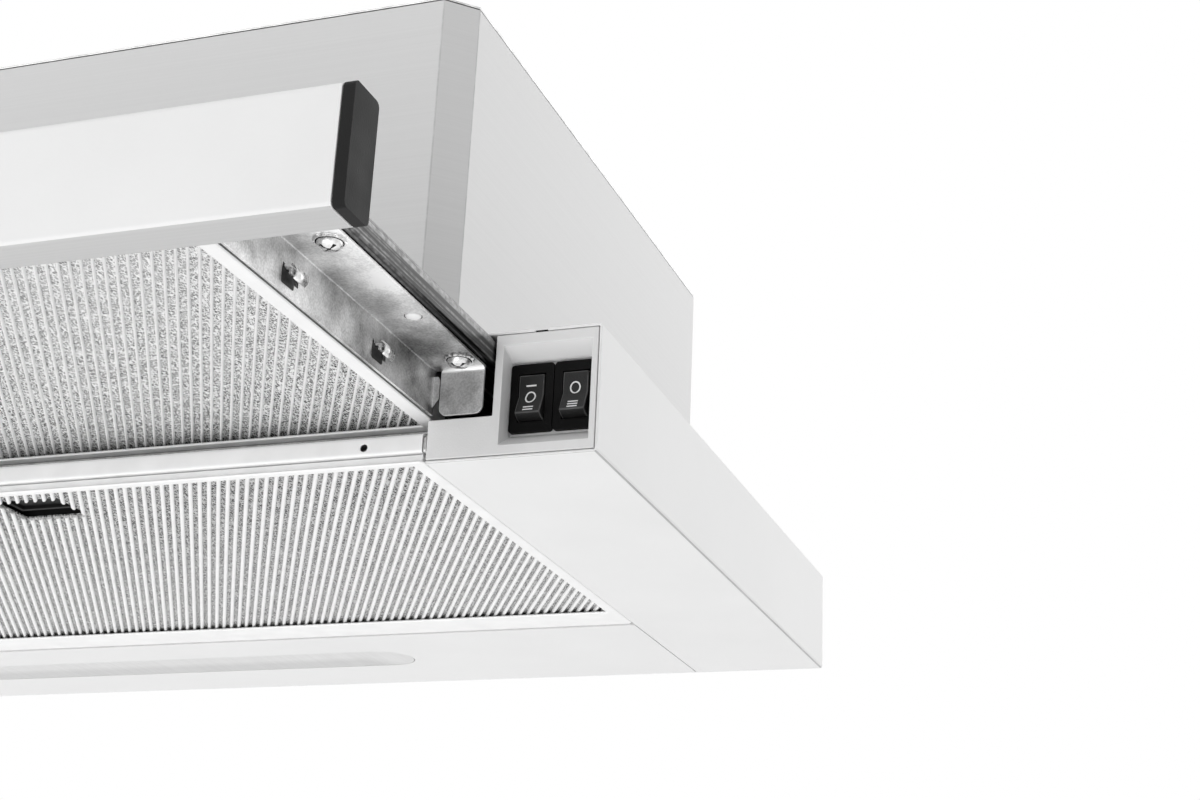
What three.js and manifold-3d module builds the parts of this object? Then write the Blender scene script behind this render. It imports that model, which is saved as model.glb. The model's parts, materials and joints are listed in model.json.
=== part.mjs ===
// Pull-out (telescopic) range hood, 60 cm class, drawer pulled out.
// Millimetres. +X right seen from the front, -Y the front, +Z up.
// The working frame has Y = 0 on the base's front plane and Z = 0 on its underside;
// the group is shifted at the end so that its origin is the centre of its footprint.

import * as THREE from 'three';
import { mergeVertices } from 'three/addons/utils/BufferGeometryUtils.js';
import Module from 'manifold-3d';

const wasm = await Module();
wasm.setup();

// ---------------------------------------------------------------- driving dimensions

const SEAT = 0.3; // gap between pieces that touch
const LIFT_OUT = 0.6; // gap beside a filter that is lifted out by hand
const PAST = 1; // how far a cutting shape runs past the face that it cuts
const BITE = 0.1; // overlap of two shapes that are joined into one piece
const BEND = 0.4; // inner radius of a sheet's folds

// Base: a shallow box that is open below, with borders of this width round the bottom filter.
const base = { width: 598, depth: 280, height: 40, sheet: 0.8 };
const borders = { side: 54, rear: 83, lip: 9 };
const airHole = { side: 61, front: 14, rear: 64 };
const seatPad = { side: 3, width: 24, ends: 25, rise: 1, corner: 4 };
const cabinetHoles = { diameter: 6, ends: 40 };

// Drawer: the filter's last few millimetres stay behind the base's front plane.
const drawer = { travel: 150, stop: 0.5, engaged: 13.5 };
const fascia = { height: 31, depth: 12, sheet: 1.2, lift: 0.4, slotLow: 10, slotHigh: 24 };
const endCap = { thickness: 3, plug: 6, wall: 1.2, corner: 1.6 };
const crossMember = { depth: 10, sheet: 0.8 };
const rail = { aside: 1, bottom: 14.5, flange: 16.2, sheet: 0.8, rearEnd: 1, foot: 14 };
const railTab = { inset: 2.2, bottom: 14, corner: 2.5, bend: 4 };
const railReturn = { bottom: 16.5, top: 26.6, reach: 1.9, foot: 3, shoulder: 1.1, neck: 0.7, root: 0.2 };
const railHoles = { aside: 11.2, screws: [92.5, 8.5], hole: 41, screw: 4.5, open: 5.5 };
const lances = {
  fromRear: [91, 38], length: 9, height: 4, z: 20.5, lift: 2.2, root: 0.6, bend: 1, drop: 0.4, tip: 0.8,
  frontGap: 1, rearGap: 2,
};
const visor = { below: 2.4, sheet: 0.8, skirt: 12.8 };
const rearBar = { height: 9, ledge: 5.6, sheet: 0.8, earWidth: 8, sideDepth: 8, below: 2, lift: 1 };

// Ball slides: three nested channels, and two cages of balls between them.
const slide = { aside: 9.6, width: 19, spare: 30, drop: 9.6, topDrop: 1.2, sheet: 1, inset: 2, lip: 0.8 };
const middle = { sheet: 0.8, topDrop: 1.6 };
const inner = { sheet: 0.8 };
const ball = { diameter: 2, play: 0.2, drop: 4.2, perSide: 3 };
const cage = { sheet: 0.5, web: 0.4, length: 100, rim: 1 };

// Filters: a channel frame round a pack of ribbed sheet, and two thumb latches each.
const bottomBand = { side: 4.6, front: 3, rear: 17, height: 8.7 };
const drawerBand = { side: 5, front: 5, rear: 7.5, height: 9 };
const filterPlace = { rise: 3.8, tuck: 0.4 };
const frontLip = { depth: 10.8, height: 3 };
const frame = { sheet: 0.8, round: 0.5, corner: 1.5, lip: 1.6, flat: 0.1 };
const ribs = { pitch: 2.95, angle: 30, width: 0.4, height: 0.8, backing: 0.8, spare: 2 };
const latch = { x: 95, width: 34, depth: 22, height: 5.4, wall: 1, corner: 2, setBack: 12 };
const bolt = { width: 12, height: 2, reach: 5.5, rise: 1.1, root: 4 };
const grip = { width: 22, travel: 5, play: 1, side: 1.5, front: 3 };

// Front of the base: cross bar with its clips, and the grey corner mouldings.
const crossBar = { depth: 10, bottom: 3.6, height: 6.4, sheet: 0.8, front: 0.2 };
const barHole = { aside: 19.3, rise: 2.9, diameter: 2.6 };
const barClip = { thickness: 0.9, front: 0.4, depth: 7, height: 5.4, wire: 0.9, corner: 1.2 };
const corner = { strip: 20.5, stripHeight: 13.5, depth: 24, wall: 1.6 };
const notch = { aside: 19.2, width: 4, depth: 1.2 };
const recess = { left: 2.5, right: 3, bottom: 4, below: 3.7, floorBottom: 9.4, floorBelow: 7, depth: 8.5 };
const switches = { height: 21.6, bezel: 1.6, corner: 1, inset: 1, depth: 16 };
const contact = { reach: 6, width: 4.8, sheet: 0.8, pitch: 6 };
const rocker = {
  width: 8, halfHeight: 6.5, face: 2, tilt: 12, sink: 0.4, back: 3, backHalf: 3, flank: 50,
  play: 0.3, room: 3,
};

const rearPanel = { sheet: 0.8, lip: 8 };
const lamp = { length: 268, width: 25, rear: 45.5, flange: 3.5, thickness: 1.2, inset: 0.1, rim: 4 };
const lampBox = { height: 15, wall: 1.2, corner: 3, cableWidth: 6, cableRise: 7, cableHeight: 4 };
const led = { spare: 22, width: 12, board: 1.6, count: 12, size: 3, height: 0.8 };

// Upper housing and the blower in it.
const upper = { side: 52, front: 2, depth: 252, height: 122, sheet: 0.8, chamfer: 9, flange: 8 };
const lid = { sheet: 0.8, fold: 10 };
const collar = {
  rear: 114, outer: 120, wall: 1.6, height: 28, flange: 140, flangeSheet: 1.6, ledge: 3, slope: 2.5,
  bead: 0.8, beadTop: 4, beadHeight: 4, mouth: 1,
};
const flap = { rise: 8, sheet: 1, pin: 2.4, spread: 1.7, play: 1.2 };
const scroll = {
  front: 25, drop: 63.5, halfWidth: 70, startRadius: 46, endRadius: 58, startAngle: 100, wall: 1.5,
  inlet: 36, lip: 3, lipReach: 2, flange: 8, flangeSheet: 2, turns: 16,
};
const impeller = {
  outer: 41, inner: 33, endGap: 8, blades: 22, blade: 0.8, bow: 0.4, bladeFrom: 200, bladeTo: 340,
  disc: 2, discRim: 1.5, hub: 8, hubHalf: 8, ring: 2, ringProud: 0.4, ringWidth: 2,
};
const motor = {
  radius: 25, start: 9, length: 50, shaft: 3, shaftReach: 6, boss: 7, bossReach: 0.5, tail: 16, tailLength: 6,
};
const spider = { ring: 48, sheet: 2, arms: 3, armWidth: 9, overlap: 4, cup: 2, cupFloor: 1.6, cupGap: 2 };
const controlBox = {
  side: 57, rear: 74, width: 86, depth: 60, height: 42, corner: 3, cover: 3, coverLap: 1, proud: 1.5,
};
const capacitor = {
  aside: 140, rear: 89, radius: 15, height: 52, blade: 8, bladeWidth: 6, bladeSheet: 0.8, bladeAside: 4,
};
const gland = { side: 32, front: 60, radius: 9, height: 12, nut: 13, nutHeight: 4, thread: 7, bore: 4.5 };

// ---------------------------------------------------------------- derived places

const halfBase = base.width / 2;
const openingHalf = halfBase - borders.side;
const openingRear = base.depth - borders.rear;
const panelUnder = base.height - base.sheet;

const fasciaRear = -(drawer.travel + drawer.stop);
const fasciaFront = fasciaRear - fascia.depth;
const memberFront = fasciaRear + SEAT;
const wallInside = openingHalf + rail.aside;
const wallOutside = wallInside + rail.sheet;
const flangeEdge = wallOutside + rail.flange;
const railRear = -rail.rearEnd;
const visorTop = panelUnder - visor.below;
const memberTop = visorTop - visor.sheet - SEAT;

const slideCenter = wallInside + slide.aside;
const slideBottom = panelUnder - slide.drop;
const slideTop = panelUnder - slide.topDrop;
const slideLength = base.depth - slide.spare;
const flangeTop = slideBottom - SEAT;

const barTop = crossBar.bottom + crossBar.height;
const barHalf = openingHalf - barClip.thickness - 2 * SEAT;
const bottomFilter = {
  halfWidth: openingHalf - LIFT_OUT, front: SEAT, rear: openingRear - LIFT_OUT, bottom: SEAT,
  band: bottomBand,
};
const drawerFilter = {
  halfWidth: wallInside - LIFT_OUT, front: fasciaRear + filterPlace.tuck, rear: drawer.engaged,
  bottom: barTop + filterPlace.rise, band: drawerBand,
};

const towerInside = openingHalf + corner.strip;
const recessNear = [towerInside + recess.left, halfBase - recess.right, recess.bottom,
  panelUnder - recess.below];
const recessFar = [recessNear[0], recessNear[1], recess.floorBottom, panelUnder - recess.floorBelow];
const switchZ = (recessFar[2] + recessFar[3]) / 2;
const slotWidth = (recessNear[1] - recessNear[0]) / 2;
const switchCenters = [recessNear[0] + slotWidth / 2, recessNear[1] - slotWidth / 2];

const lampY = base.depth - lamp.rear;
const bodyBottom = base.height + SEAT;
const upperHalf = halfBase - upper.side;
const upperRear = upper.front + upper.depth;
const upperTop = bodyBottom + upper.height;
const lidUnder = upperTop - lid.sheet;
const hangTop = lidUnder - SEAT;
const collarY = upperRear - collar.rear;
const scrollY = collarY - scroll.front;
const scrollZ = lidUnder - scroll.drop;
const boxX = upperHalf - controlBox.side;
const boxY = upperRear - controlBox.rear;
const glandX = upperHalf - gland.side;
const glandY = boxY - gland.front;
const centerY = (fasciaFront + base.depth) / 2;

// ---------------------------------------------------------------- materials

const finish = (name, color, roughness, metalness) => {
  const material = new THREE.MeshStandardMaterial({ color, roughness, metalness });
  material.name = name;
  return material;
};
const whitePaint = finish('white_paint', 0xe9e9e8, 0.45, 0.1);
const bodyPaint = finish('body_paint', 0xe5e5e5, 0.5, 0.1);
const greyPlastic = finish('grey_plastic', 0xe0e0e0, 0.55, 0);
const blackPlastic = finish('black_plastic', 0x1d1d1f, 0.5, 0);
const galvanised = finish('galvanised_steel', 0x9c9ea0, 0.4, 0.9);
const slideSteel = finish('zinc_slide_steel', 0x7e8082, 0.35, 0.9);
const aluminium = finish('filter_aluminium', 0xe3e3e1, 0.4, 0.7);
const frosted = finish('frosted_lens', 0xd9dadb, 0.6, 0);
const board = finish('lamp_board', 0xf2f2ee, 0.6, 0);
const housingPlastic = finish('housing_plastic', 0x3a3b3d, 0.6, 0);
const motorSteel = finish('motor_steel', 0x8d8f92, 0.45, 0.8);

// ---------------------------------------------------------------- shape helpers

const rad = THREE.MathUtils.degToRad;

// A closed mesh with shared vertices becomes a solid that can be joined and cut.
function solid(geometry) {
  const bare = geometry.clone();
  bare.deleteAttribute('normal');
  bare.deleteAttribute('uv');
  const merged = mergeVertices(bare, 1e-4);
  return new wasm.Manifold(new wasm.Mesh({
    numProp: 3,
    vertProperties: new Float32Array(merged.attributes.position.array),
    triVerts: new Uint32Array(merged.index.array),
  }));
}

function geometryOf(shape) {
  const data = shape.getMesh();
  const geometry = new THREE.BufferGeometry();
  geometry.setAttribute('position', new THREE.BufferAttribute(data.vertProperties, 3));
  geometry.setIndex(new THREE.BufferAttribute(data.triVerts, 1));
  geometry.computeVertexNormals();
  return geometry;
}

function joined(...shapes) {
  return shapes.reduce((whole, next) => whole.add(next));
}

function block(x0, x1, y0, y1, z0, z1) {
  const geometry = new THREE.BoxGeometry(x1 - x0, y1 - y0, z1 - z0);
  geometry.translate((x0 + x1) / 2, (y0 + y1) / 2, (z0 + z1) / 2);
  return solid(geometry);
}

const axes = {
  x: new THREE.Matrix4().makeBasis(new THREE.Vector3(0, 1, 0), new THREE.Vector3(0, 0, 1),
    new THREE.Vector3(1, 0, 0)),
  y: new THREE.Matrix4().makeBasis(new THREE.Vector3(1, 0, 0), new THREE.Vector3(0, 0, 1),
    new THREE.Vector3(0, -1, 0)),
  z: new THREE.Matrix4(),
};

// Shapes are drawn as (Y, Z) for X, (X, Z) for Y and (X, Y) for Z.
function extruded(shape, axis, from, to, options = {}) {
  const settings = { depth: to - from, bevelEnabled: false, curveSegments: 3, ...options };
  const geometry = new THREE.ExtrudeGeometry(shape, settings);
  geometry.applyMatrix4(axes[axis]);
  const start = { x: [from, 0, 0], y: [0, to, 0], z: [0, 0, from] }[axis];
  geometry.translate(...start);
  return solid(geometry);
}

function cylinder(axis, radius, from, to, a, b, sides = 20) {
  const circle = new THREE.Shape();
  circle.absarc(a, b, radius, 0, Math.PI * 2, false);
  return extruded(circle, axis, from, to, { curveSegments: sides / 2 });
}

function polygon(points) {
  return new THREE.Shape(points.map(([a, b]) => new THREE.Vector2(a, b)));
}

function rectangle(a0, a1, b0, b1, radius = 0) {
  if (radius === 0) {
    return polygon([[a0, b0], [a1, b0], [a1, b1], [a0, b1]]);
  }
  const shape = new THREE.Shape();
  shape.moveTo(a0 + radius, b0);
  shape.lineTo(a1 - radius, b0);
  shape.absarc(a1 - radius, b0 + radius, radius, -Math.PI / 2, 0, false);
  shape.lineTo(a1, b1 - radius);
  shape.absarc(a1 - radius, b1 - radius, radius, 0, Math.PI / 2, false);
  shape.lineTo(a0 + radius, b1);
  shape.absarc(a0 + radius, b1 - radius, radius, Math.PI / 2, Math.PI, false);
  shape.lineTo(a0, b0 + radius);
  shape.absarc(a0 + radius, b0 + radius, radius, Math.PI, Math.PI * 1.5, false);
  return shape;
}

function withHole(shape, hole) {
  shape.holes.push(new THREE.Path(hole.getPoints(3)));
  return shape;
}

// Rounds the corners of a fold line. The sheet lies on the line's left, so a left turn has the
// sheet inside it and gets the larger, outer radius.
function rounded(points, thickness) {
  const steps = 2;
  const line = points.map(([a, b]) => new THREE.Vector2(a, b));
  const result = [points[0]];
  for (let i = 1; i < line.length - 1; i += 1) {
    const before = line[i].clone().sub(line[i - 1]).normalize();
    const after = line[i + 1].clone().sub(line[i]).normalize();
    const turn = Math.sign(before.cross(after));
    const angle = Math.acos(THREE.MathUtils.clamp(before.dot(after), -1, 1));
    const radius = BEND + (turn > 0 ? thickness : 0);
    const start = line[i].clone().addScaledVector(before, -radius * Math.tan(angle / 2));
    const centre = start.clone().add(new THREE.Vector2(-before.y, before.x).multiplyScalar(turn * radius));
    for (let k = 0; k <= steps; k += 1) {
      const point = start.clone().rotateAround(centre, turn * angle * k / steps);
      result.push([point.x, point.y]);
    }
  }
  result.push(points[points.length - 1]);
  return result;
}

// The section of a sheet that follows a line of points, with the sheet on the line's left.
function sheetAlong(points, thickness) {
  const line = points.map(([a, b]) => new THREE.Vector2(a, b));
  const normals = line.slice(1).map((point, i) => {
    const step = point.clone().sub(line[i]).normalize();
    return new THREE.Vector2(-step.y, step.x);
  });
  const offset = line.map((point, i) => {
    const before = normals[Math.max(i - 1, 0)];
    const after = normals[Math.min(i, normals.length - 1)];
    const sum = before.clone().add(after);
    return point.clone().addScaledVector(sum, thickness / (1 + before.dot(after)));
  });
  return new THREE.Shape([...line, ...offset.reverse()]);
}

function foldedSheet(points, thickness) {
  return sheetAlong(rounded(points, thickness), thickness);
}

// A box whose far end, along Y, has its own rectangle: a moulded recess with draft.
function taperedBlock(y0, near, y1, far) {
  const geometry = new THREE.BoxGeometry(1, 1, 1);
  const place = geometry.attributes.position;
  for (let i = 0; i < place.count; i += 1) {
    const [x0, x1, z0, z1] = place.getY(i) < 0 ? near : far;
    place.setXYZ(i,
      place.getX(i) < 0 ? x0 : x1,
      place.getY(i) < 0 ? y0 : y1,
      place.getZ(i) < 0 ? z0 : z1);
  }
  return solid(geometry);
}

function mirrored(shape) {
  return shape.mirror([1, 0, 0]);
}

const hood = new THREE.Group();

function piece(name, shape, material) {
  const mesh = new THREE.Mesh(geometryOf(shape), material);
  mesh.name = name;
  hood.add(mesh);
}

// The same piece on the right and, mirrored, on the left.
function pair(name, shape, material) {
  piece(`${name}_right`, shape, material);
  piece(`${name}_left`, mirrored(shape), material);
}

// ---------------------------------------------------------------- base

// Folded box with an open front and underside, pressed pads that carry the cabinet floor,
// and a lip along each side of the filter opening.
function baseShell() {
  const t = base.sheet;
  const top = base.height + PAST;
  let shell = extruded(rectangle(-halfBase, halfBase, 0, base.height, t + BEND), 'y', 0, base.depth);
  for (const side of [-1, 1]) {
    const outer = side * (halfBase - seatPad.side);
    const innerEdge = outer - side * seatPad.width;
    const [x0, x1] = [Math.min(outer, innerEdge), Math.max(outer, innerEdge)];
    const pad = rectangle(x0, x1, seatPad.ends, base.depth - seatPad.ends, seatPad.corner);
    shell = shell.add(extruded(pad, 'z', panelUnder, base.height + seatPad.rise));
  }
  shell = shell.subtract(extruded(rectangle(t - halfBase, halfBase - t, t, panelUnder, BEND), 'y', -PAST,
    base.depth - t));
  const airHalf = halfBase - airHole.side;
  shell = shell.subtract(block(-openingHalf, openingHalf, -PAST, base.depth - t, -PAST, 2 * t))
    .subtract(block(-airHalf, airHalf, airHole.front, base.depth - airHole.rear, panelUnder - PAST, top));
  const lip = block(openingHalf, openingHalf + t, corner.depth + PAST, base.depth - 2 * t, 0, borders.lip);
  shell = joined(shell, lip, mirrored(lip));
  for (const side of [-1, 1]) {
    const padX = side * (halfBase - seatPad.side - seatPad.width / 2);
    const half = seatPad.width / 2 - t;
    const hollow = rectangle(padX - half, padX + half, seatPad.ends + t, base.depth - seatPad.ends - t,
      seatPad.corner - t);
    shell = shell.subtract(extruded(hollow, 'z', panelUnder - PAST, base.height + seatPad.rise - t));
    for (const y of [cabinetHoles.ends, base.depth - cabinetHoles.ends]) {
      const hole = cylinder('z', cabinetHoles.diameter / 2, panelUnder - PAST, top + PAST, padX, y, 8);
      shell = shell.subtract(hole);
    }
    const notchX = side * (halfBase - notch.aside);
    shell = shell.subtract(block(notchX - notch.width / 2, notchX + notch.width / 2, -PAST, notch.depth,
      panelUnder - PAST, top));
  }
  return shell;
}

function obround(length, width) {
  const nearlyHalf = width / 2 - BITE / 10;
  return rectangle(-length / 2, length / 2, lampY - width / 2, lampY + width / 2, nearlyHalf);
}

function rearUndersidePanel() {
  const t = rearPanel.sheet;
  const half = openingHalf - SEAT;
  const front = openingRear + SEAT;
  const rear = base.depth - base.sheet - SEAT;
  const outline = withHole(rectangle(-half, half, front, rear), obround(lamp.length, lamp.width));
  const frontFold = block(-half, half, front, front + t, 0, rearPanel.lip);
  const rearFold = block(-half, half, rear - t, rear, 0, rearPanel.lip);
  const endFold = block(half - t, half, front, rear, 0, rearPanel.lip);
  return joined(extruded(outline, 'z', 0, t), frontFold, rearFold, endFold, mirrored(endFold));
}

const lensSeat = rearPanel.sheet + SEAT;

function lampLens() {
  const face = obround(lamp.length - 2 * SEAT, lamp.width - 2 * SEAT);
  const flange = obround(lamp.length + 2 * lamp.flange, lamp.width + 2 * lamp.flange);
  const cavity = obround(lamp.length - 2 * lamp.rim, lamp.width - 2 * lamp.rim);
  return extruded(face, 'z', lamp.inset, lensSeat)
    .add(extruded(flange, 'z', lensSeat, lensSeat + lamp.thickness))
    .subtract(extruded(cavity, 'z', lamp.inset + lamp.thickness, lensSeat + lamp.thickness + PAST));
}

function lampHousing() {
  const halfX = lamp.length / 2 + lamp.flange + SEAT + lampBox.wall;
  const halfY = lamp.width / 2 + lamp.flange + SEAT + lampBox.wall;
  const outline = rectangle(-halfX, halfX, lampY - halfY, lampY + halfY, lampBox.corner);
  const inside = block(lampBox.wall - halfX, halfX - lampBox.wall, lampY - halfY + lampBox.wall,
    lampY + halfY - lampBox.wall, lensSeat - PAST, lensSeat + lampBox.height - lampBox.wall);
  const cableLow = lensSeat + lampBox.cableRise;
  const cableSlot = block(halfX - 2 * lampBox.wall, halfX + PAST, lampY - lampBox.cableWidth / 2,
    lampY + lampBox.cableWidth / 2, cableLow, cableLow + lampBox.cableHeight);
  return extruded(outline, 'z', lensSeat, lensSeat + lampBox.height).subtract(inside).subtract(cableSlot);
}

function ledBoard() {
  const length = lamp.length - led.spare;
  const top = lensSeat + lampBox.height - lampBox.wall - SEAT;
  const bottom = top - led.board;
  let strip = block(-length / 2, length / 2, lampY - led.width / 2, lampY + led.width / 2, bottom, top);
  for (let i = 0; i < led.count; i += 1) {
    const x = ((i + 0.5) / led.count - 0.5) * length;
    strip = strip.add(block(x - led.size / 2, x + led.size / 2, lampY - led.size / 2,
      lampY + led.size / 2, bottom - led.height, bottom + BITE));
  }
  return strip;
}

function frontCrossBar() {
  const { depth, bottom, sheet, front } = crossBar;
  const section = foldedSheet([[depth, barTop], [front, barTop], [front, bottom], [depth, bottom]], sheet);
  let bar = extruded(section, 'x', -barHalf, barHalf);
  for (const side of [-1, 1]) {
    bar = bar.subtract(cylinder('y', barHole.diameter / 2, -PAST, front + sheet + PAST,
      side * (barHalf - barHole.aside), bottom + barHole.rise, 8));
  }
  return bar;
}

// Spring clip of bent wire between the cross bar's end and the filter opening's lip.
function cornerClip() {
  const x0 = barHalf + SEAT;
  const z0 = crossBar.bottom;
  const { front, depth, height, wire } = barClip;
  const outline = rectangle(front, depth, z0, z0 + height, barClip.corner);
  const eye = rectangle(front + wire, depth - wire, z0 + wire, z0 + height - wire);
  return extruded(withHole(outline, eye), 'x', x0, x0 + barClip.thickness);
}

// Grey moulding that closes the front of the base: a low strip and, beside it, a tower.
function cornerMoulding() {
  const left = openingHalf;
  const right = halfBase - base.sheet - SEAT;
  const low = base.sheet + SEAT;
  const high = panelUnder - SEAT;
  const w = corner.wall;
  const outline = polygon([[left, low], [right, low], [right, high], [towerInside, high],
    [towerInside, corner.stripHeight], [left, corner.stripHeight]]);
  const pocket = polygon([[left + w, low + w], [right - w, low + w], [right - w, high - w],
    [towerInside + w, high - w], [towerInside + w, corner.stripHeight - w],
    [left + w, corner.stripHeight - w]]);
  return extruded(outline, 'y', 0, corner.depth)
    .subtract(extruded(pocket, 'y', w, corner.depth + PAST));
}

const bodyHalfWidth = slotWidth / 2 - switches.inset;
const bodyHalfHeight = switches.height / 2 - switches.inset;

// The right-hand tower has a drafted recess, and its floor carries the two switches.
function switchMoulding() {
  const w = corner.wall;
  const grown = ([x0, x1, z0, z1]) => [x0 - w, x1 + w, z0 - w, z1 + w];
  const limit = block(towerInside, halfBase - base.sheet - SEAT, 0, corner.depth,
    base.sheet + SEAT, panelUnder - SEAT);
  const funnel = taperedBlock(0, grown(recessNear), recess.depth + w, grown(recessFar));
  let moulding = cornerMoulding().add(funnel.intersect(limit))
    .subtract(taperedBlock(-BITE, recessNear, recess.depth, recessFar));
  for (const x of switchCenters) {
    const halfX = bodyHalfWidth + SEAT;
    const halfZ = bodyHalfHeight + SEAT;
    moulding = moulding.subtract(block(x - halfX, x + halfX, recess.depth - PAST, corner.depth,
      switchZ - halfZ, switchZ + halfZ));
  }
  return moulding;
}

const bezelRear = recess.depth - SEAT;
const bezelFront = bezelRear - switches.bezel;
const pivotY = bezelFront - rocker.sink + rocker.face;
const rockerRise = rocker.face + rocker.halfHeight * Math.tan(rad(rocker.tilt));
const rockerReach = Math.hypot(rockerRise, rocker.halfHeight);

function switchHousing(x) {
  const halfX = (slotWidth - SEAT) / 2;
  const halfZ = switches.height / 2;
  const bezel = extruded(rectangle(x - halfX, x + halfX, switchZ - halfZ, switchZ + halfZ,
    switches.corner), 'y', bezelFront, bezelRear, { curveSegments: 2 });
  const rear = bezelRear + switches.depth;
  let housing = bezel.add(block(x - bodyHalfWidth, x + bodyHalfWidth, bezelRear - BITE, rear,
    switchZ - bodyHalfHeight, switchZ + bodyHalfHeight));
  const reach = rockerReach + rocker.play;
  const pocketHalf = rocker.width / 2 + rocker.play;
  housing = housing.subtract(block(x - pocketHalf, x + pocketHalf, bezelFront - PAST,
    pivotY + rocker.back + rocker.room, switchZ - reach, switchZ + reach));
  for (const step of [-1, 0, 1]) {
    const z = switchZ + step * contact.pitch;
    housing = housing.add(block(x - contact.width / 2, x + contact.width / 2, rear - BITE,
      rear + contact.reach, z - contact.sheet / 2, z + contact.sheet / 2));
  }
  return housing;
}

// A rocker seen from its side: two face flats that meet in a shallow V, ends round about the pivot.
function rockerKey(x) {
  const shape = new THREE.Shape();
  const endAngle = Math.atan2(rocker.halfHeight, -rockerRise);
  shape.moveTo(-rockerRise, -rocker.halfHeight);
  shape.absarc(0, 0, rockerReach, -endAngle, -rad(rocker.flank), false);
  shape.lineTo(rocker.back, -rocker.backHalf);
  shape.lineTo(rocker.back, rocker.backHalf);
  shape.absarc(0, 0, rockerReach, rad(rocker.flank), endAngle, false);
  shape.lineTo(-rocker.face, 0);
  const geometry = new THREE.ExtrudeGeometry(shape, {
    depth: rocker.width, bevelEnabled: false, curveSegments: 5,
  });
  geometry.rotateZ(rad(-rocker.tilt));
  geometry.applyMatrix4(axes.x);
  geometry.translate(x - rocker.width / 2, pivotY, switchZ);
  return solid(geometry);
}

// ---------------------------------------------------------------- filters

// Expanded-metal filter pack: a thin sheet with slanting ribs pressed along its underside.
function ribbedSheet(x0, x1, y0, y1, z) {
  const angle = rad(ribs.angle);
  const across = (x1 - x0) * Math.cos(angle) + (y1 - y0) * Math.sin(angle);
  const along = (x1 - x0) * Math.sin(angle) + (y1 - y0) * Math.cos(angle);
  const count = Math.ceil(across / ribs.pitch) + 1;
  const points = [];
  for (let i = 0; i < count; i += 1) {
    const start = (i - count / 2) * ribs.pitch;
    const foot = start + ribs.pitch * (1 - ribs.width);
    points.push([start, ribs.height], [foot, ribs.height], [(foot + start + ribs.pitch) / 2, 0]);
  }
  const end = count / 2 * ribs.pitch;
  const high = ribs.height + ribs.backing;
  points.push([end, ribs.height], [end, high], [-end, high]);
  const reach = along / 2 + ribs.spare;
  return extruded(polygon(points), 'y', -reach, reach)
    .rotate([0, 0, ribs.angle])
    .translate([(x0 + x1) / 2, (y0 + y1) / 2, z])
    .intersect(block(x0, x1, y0, y1, z - PAST, z + high + PAST));
}

// A ring of wall: the size's outline taken in by one amount, less the outline taken in by more.
function frameRing(size, from, to, z0, z1) {
  const inset = (by, low, high) => block(by - size.halfWidth, size.halfWidth - by, size.front + by,
    size.rear - by, low, high);
  return inset(from, z0, z1).subtract(inset(to, z0 - PAST, z1 + PAST));
}

// A channel frame: a broad rounded band below, an outer wall and a narrow lip on top.
function filterFrame(size) {
  const { halfWidth, front, rear, bottom, band } = size;
  const r = frame.round;
  const z1 = bottom + band.height;
  const outline = rectangle(r - halfWidth, halfWidth - r, front + r, rear - r, frame.corner);
  const hole = rectangle(band.side - halfWidth - r, halfWidth - band.side + r,
    front + band.front - r, rear - band.rear + r);
  const lower = extruded(withHole(outline, hole), 'z', bottom + r, bottom + r + frame.flat, {
    bevelEnabled: true, bevelSize: r, bevelThickness: r, bevelSegments: 2,
  });
  const t = frame.sheet;
  const wall = frameRing(size, t, 2 * t, bottom + r, z1);
  const lip = frameRing(size, t, 2 * t + frame.lip, z1 - t, z1);
  const aboveLip = block(-halfWidth - PAST, halfWidth + PAST, front - PAST, front + frontLip.depth,
    bottom + frontLip.height, z1 + PAST);
  const limit = block(-halfWidth, halfWidth, front, rear, 0, z1 + PAST);
  return joined(lower, wall, lip).intersect(limit).subtract(aboveLip);
}

const packBottom = (size) => size.bottom + 2 * frame.round + frame.flat + SEAT;
const latchBase = (size) => packBottom(size) + ribs.height + ribs.backing + SEAT;
const latchFront = (size) => size.front + latch.setBack;

function filterPack(size) {
  const inset = 2 * frame.sheet + SEAT;
  const half = size.halfWidth - inset;
  const bottom = packBottom(size);
  let pack = ribbedSheet(-half, half, size.front + inset, size.rear - inset, bottom);
  const halfGrip = grip.width / 2 + grip.play;
  const rim = latch.wall + grip.play;
  for (const x of [-latch.x, latch.x]) {
    pack = pack.subtract(block(x - halfGrip, x + halfGrip, latchFront(size) + rim,
      latchFront(size) + latch.depth - rim, bottom - PAST, latchBase(size)));
  }
  return pack;
}

function latchHousing(size, side) {
  const x = side * latch.x;
  const y = latchFront(size);
  const z = latchBase(size);
  const w = latch.wall;
  const half = latch.width / 2;
  const cup = extruded(rectangle(x - half, x + half, y, y + latch.depth, latch.corner), 'z',
    z, z + latch.height, { curveSegments: 2 });
  const inside = block(x - half + w, x + half - w, y + w, y + latch.depth - w, z - PAST,
    z + latch.height - w);
  const halfBolt = bolt.width / 2 + SEAT;
  const slot = block(x - halfBolt, x + halfBolt, y - PAST, y + 2 * w, z - PAST,
    z + bolt.rise + bolt.height + 2 * SEAT);
  return cup.subtract(inside).subtract(slot);
}

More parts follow.
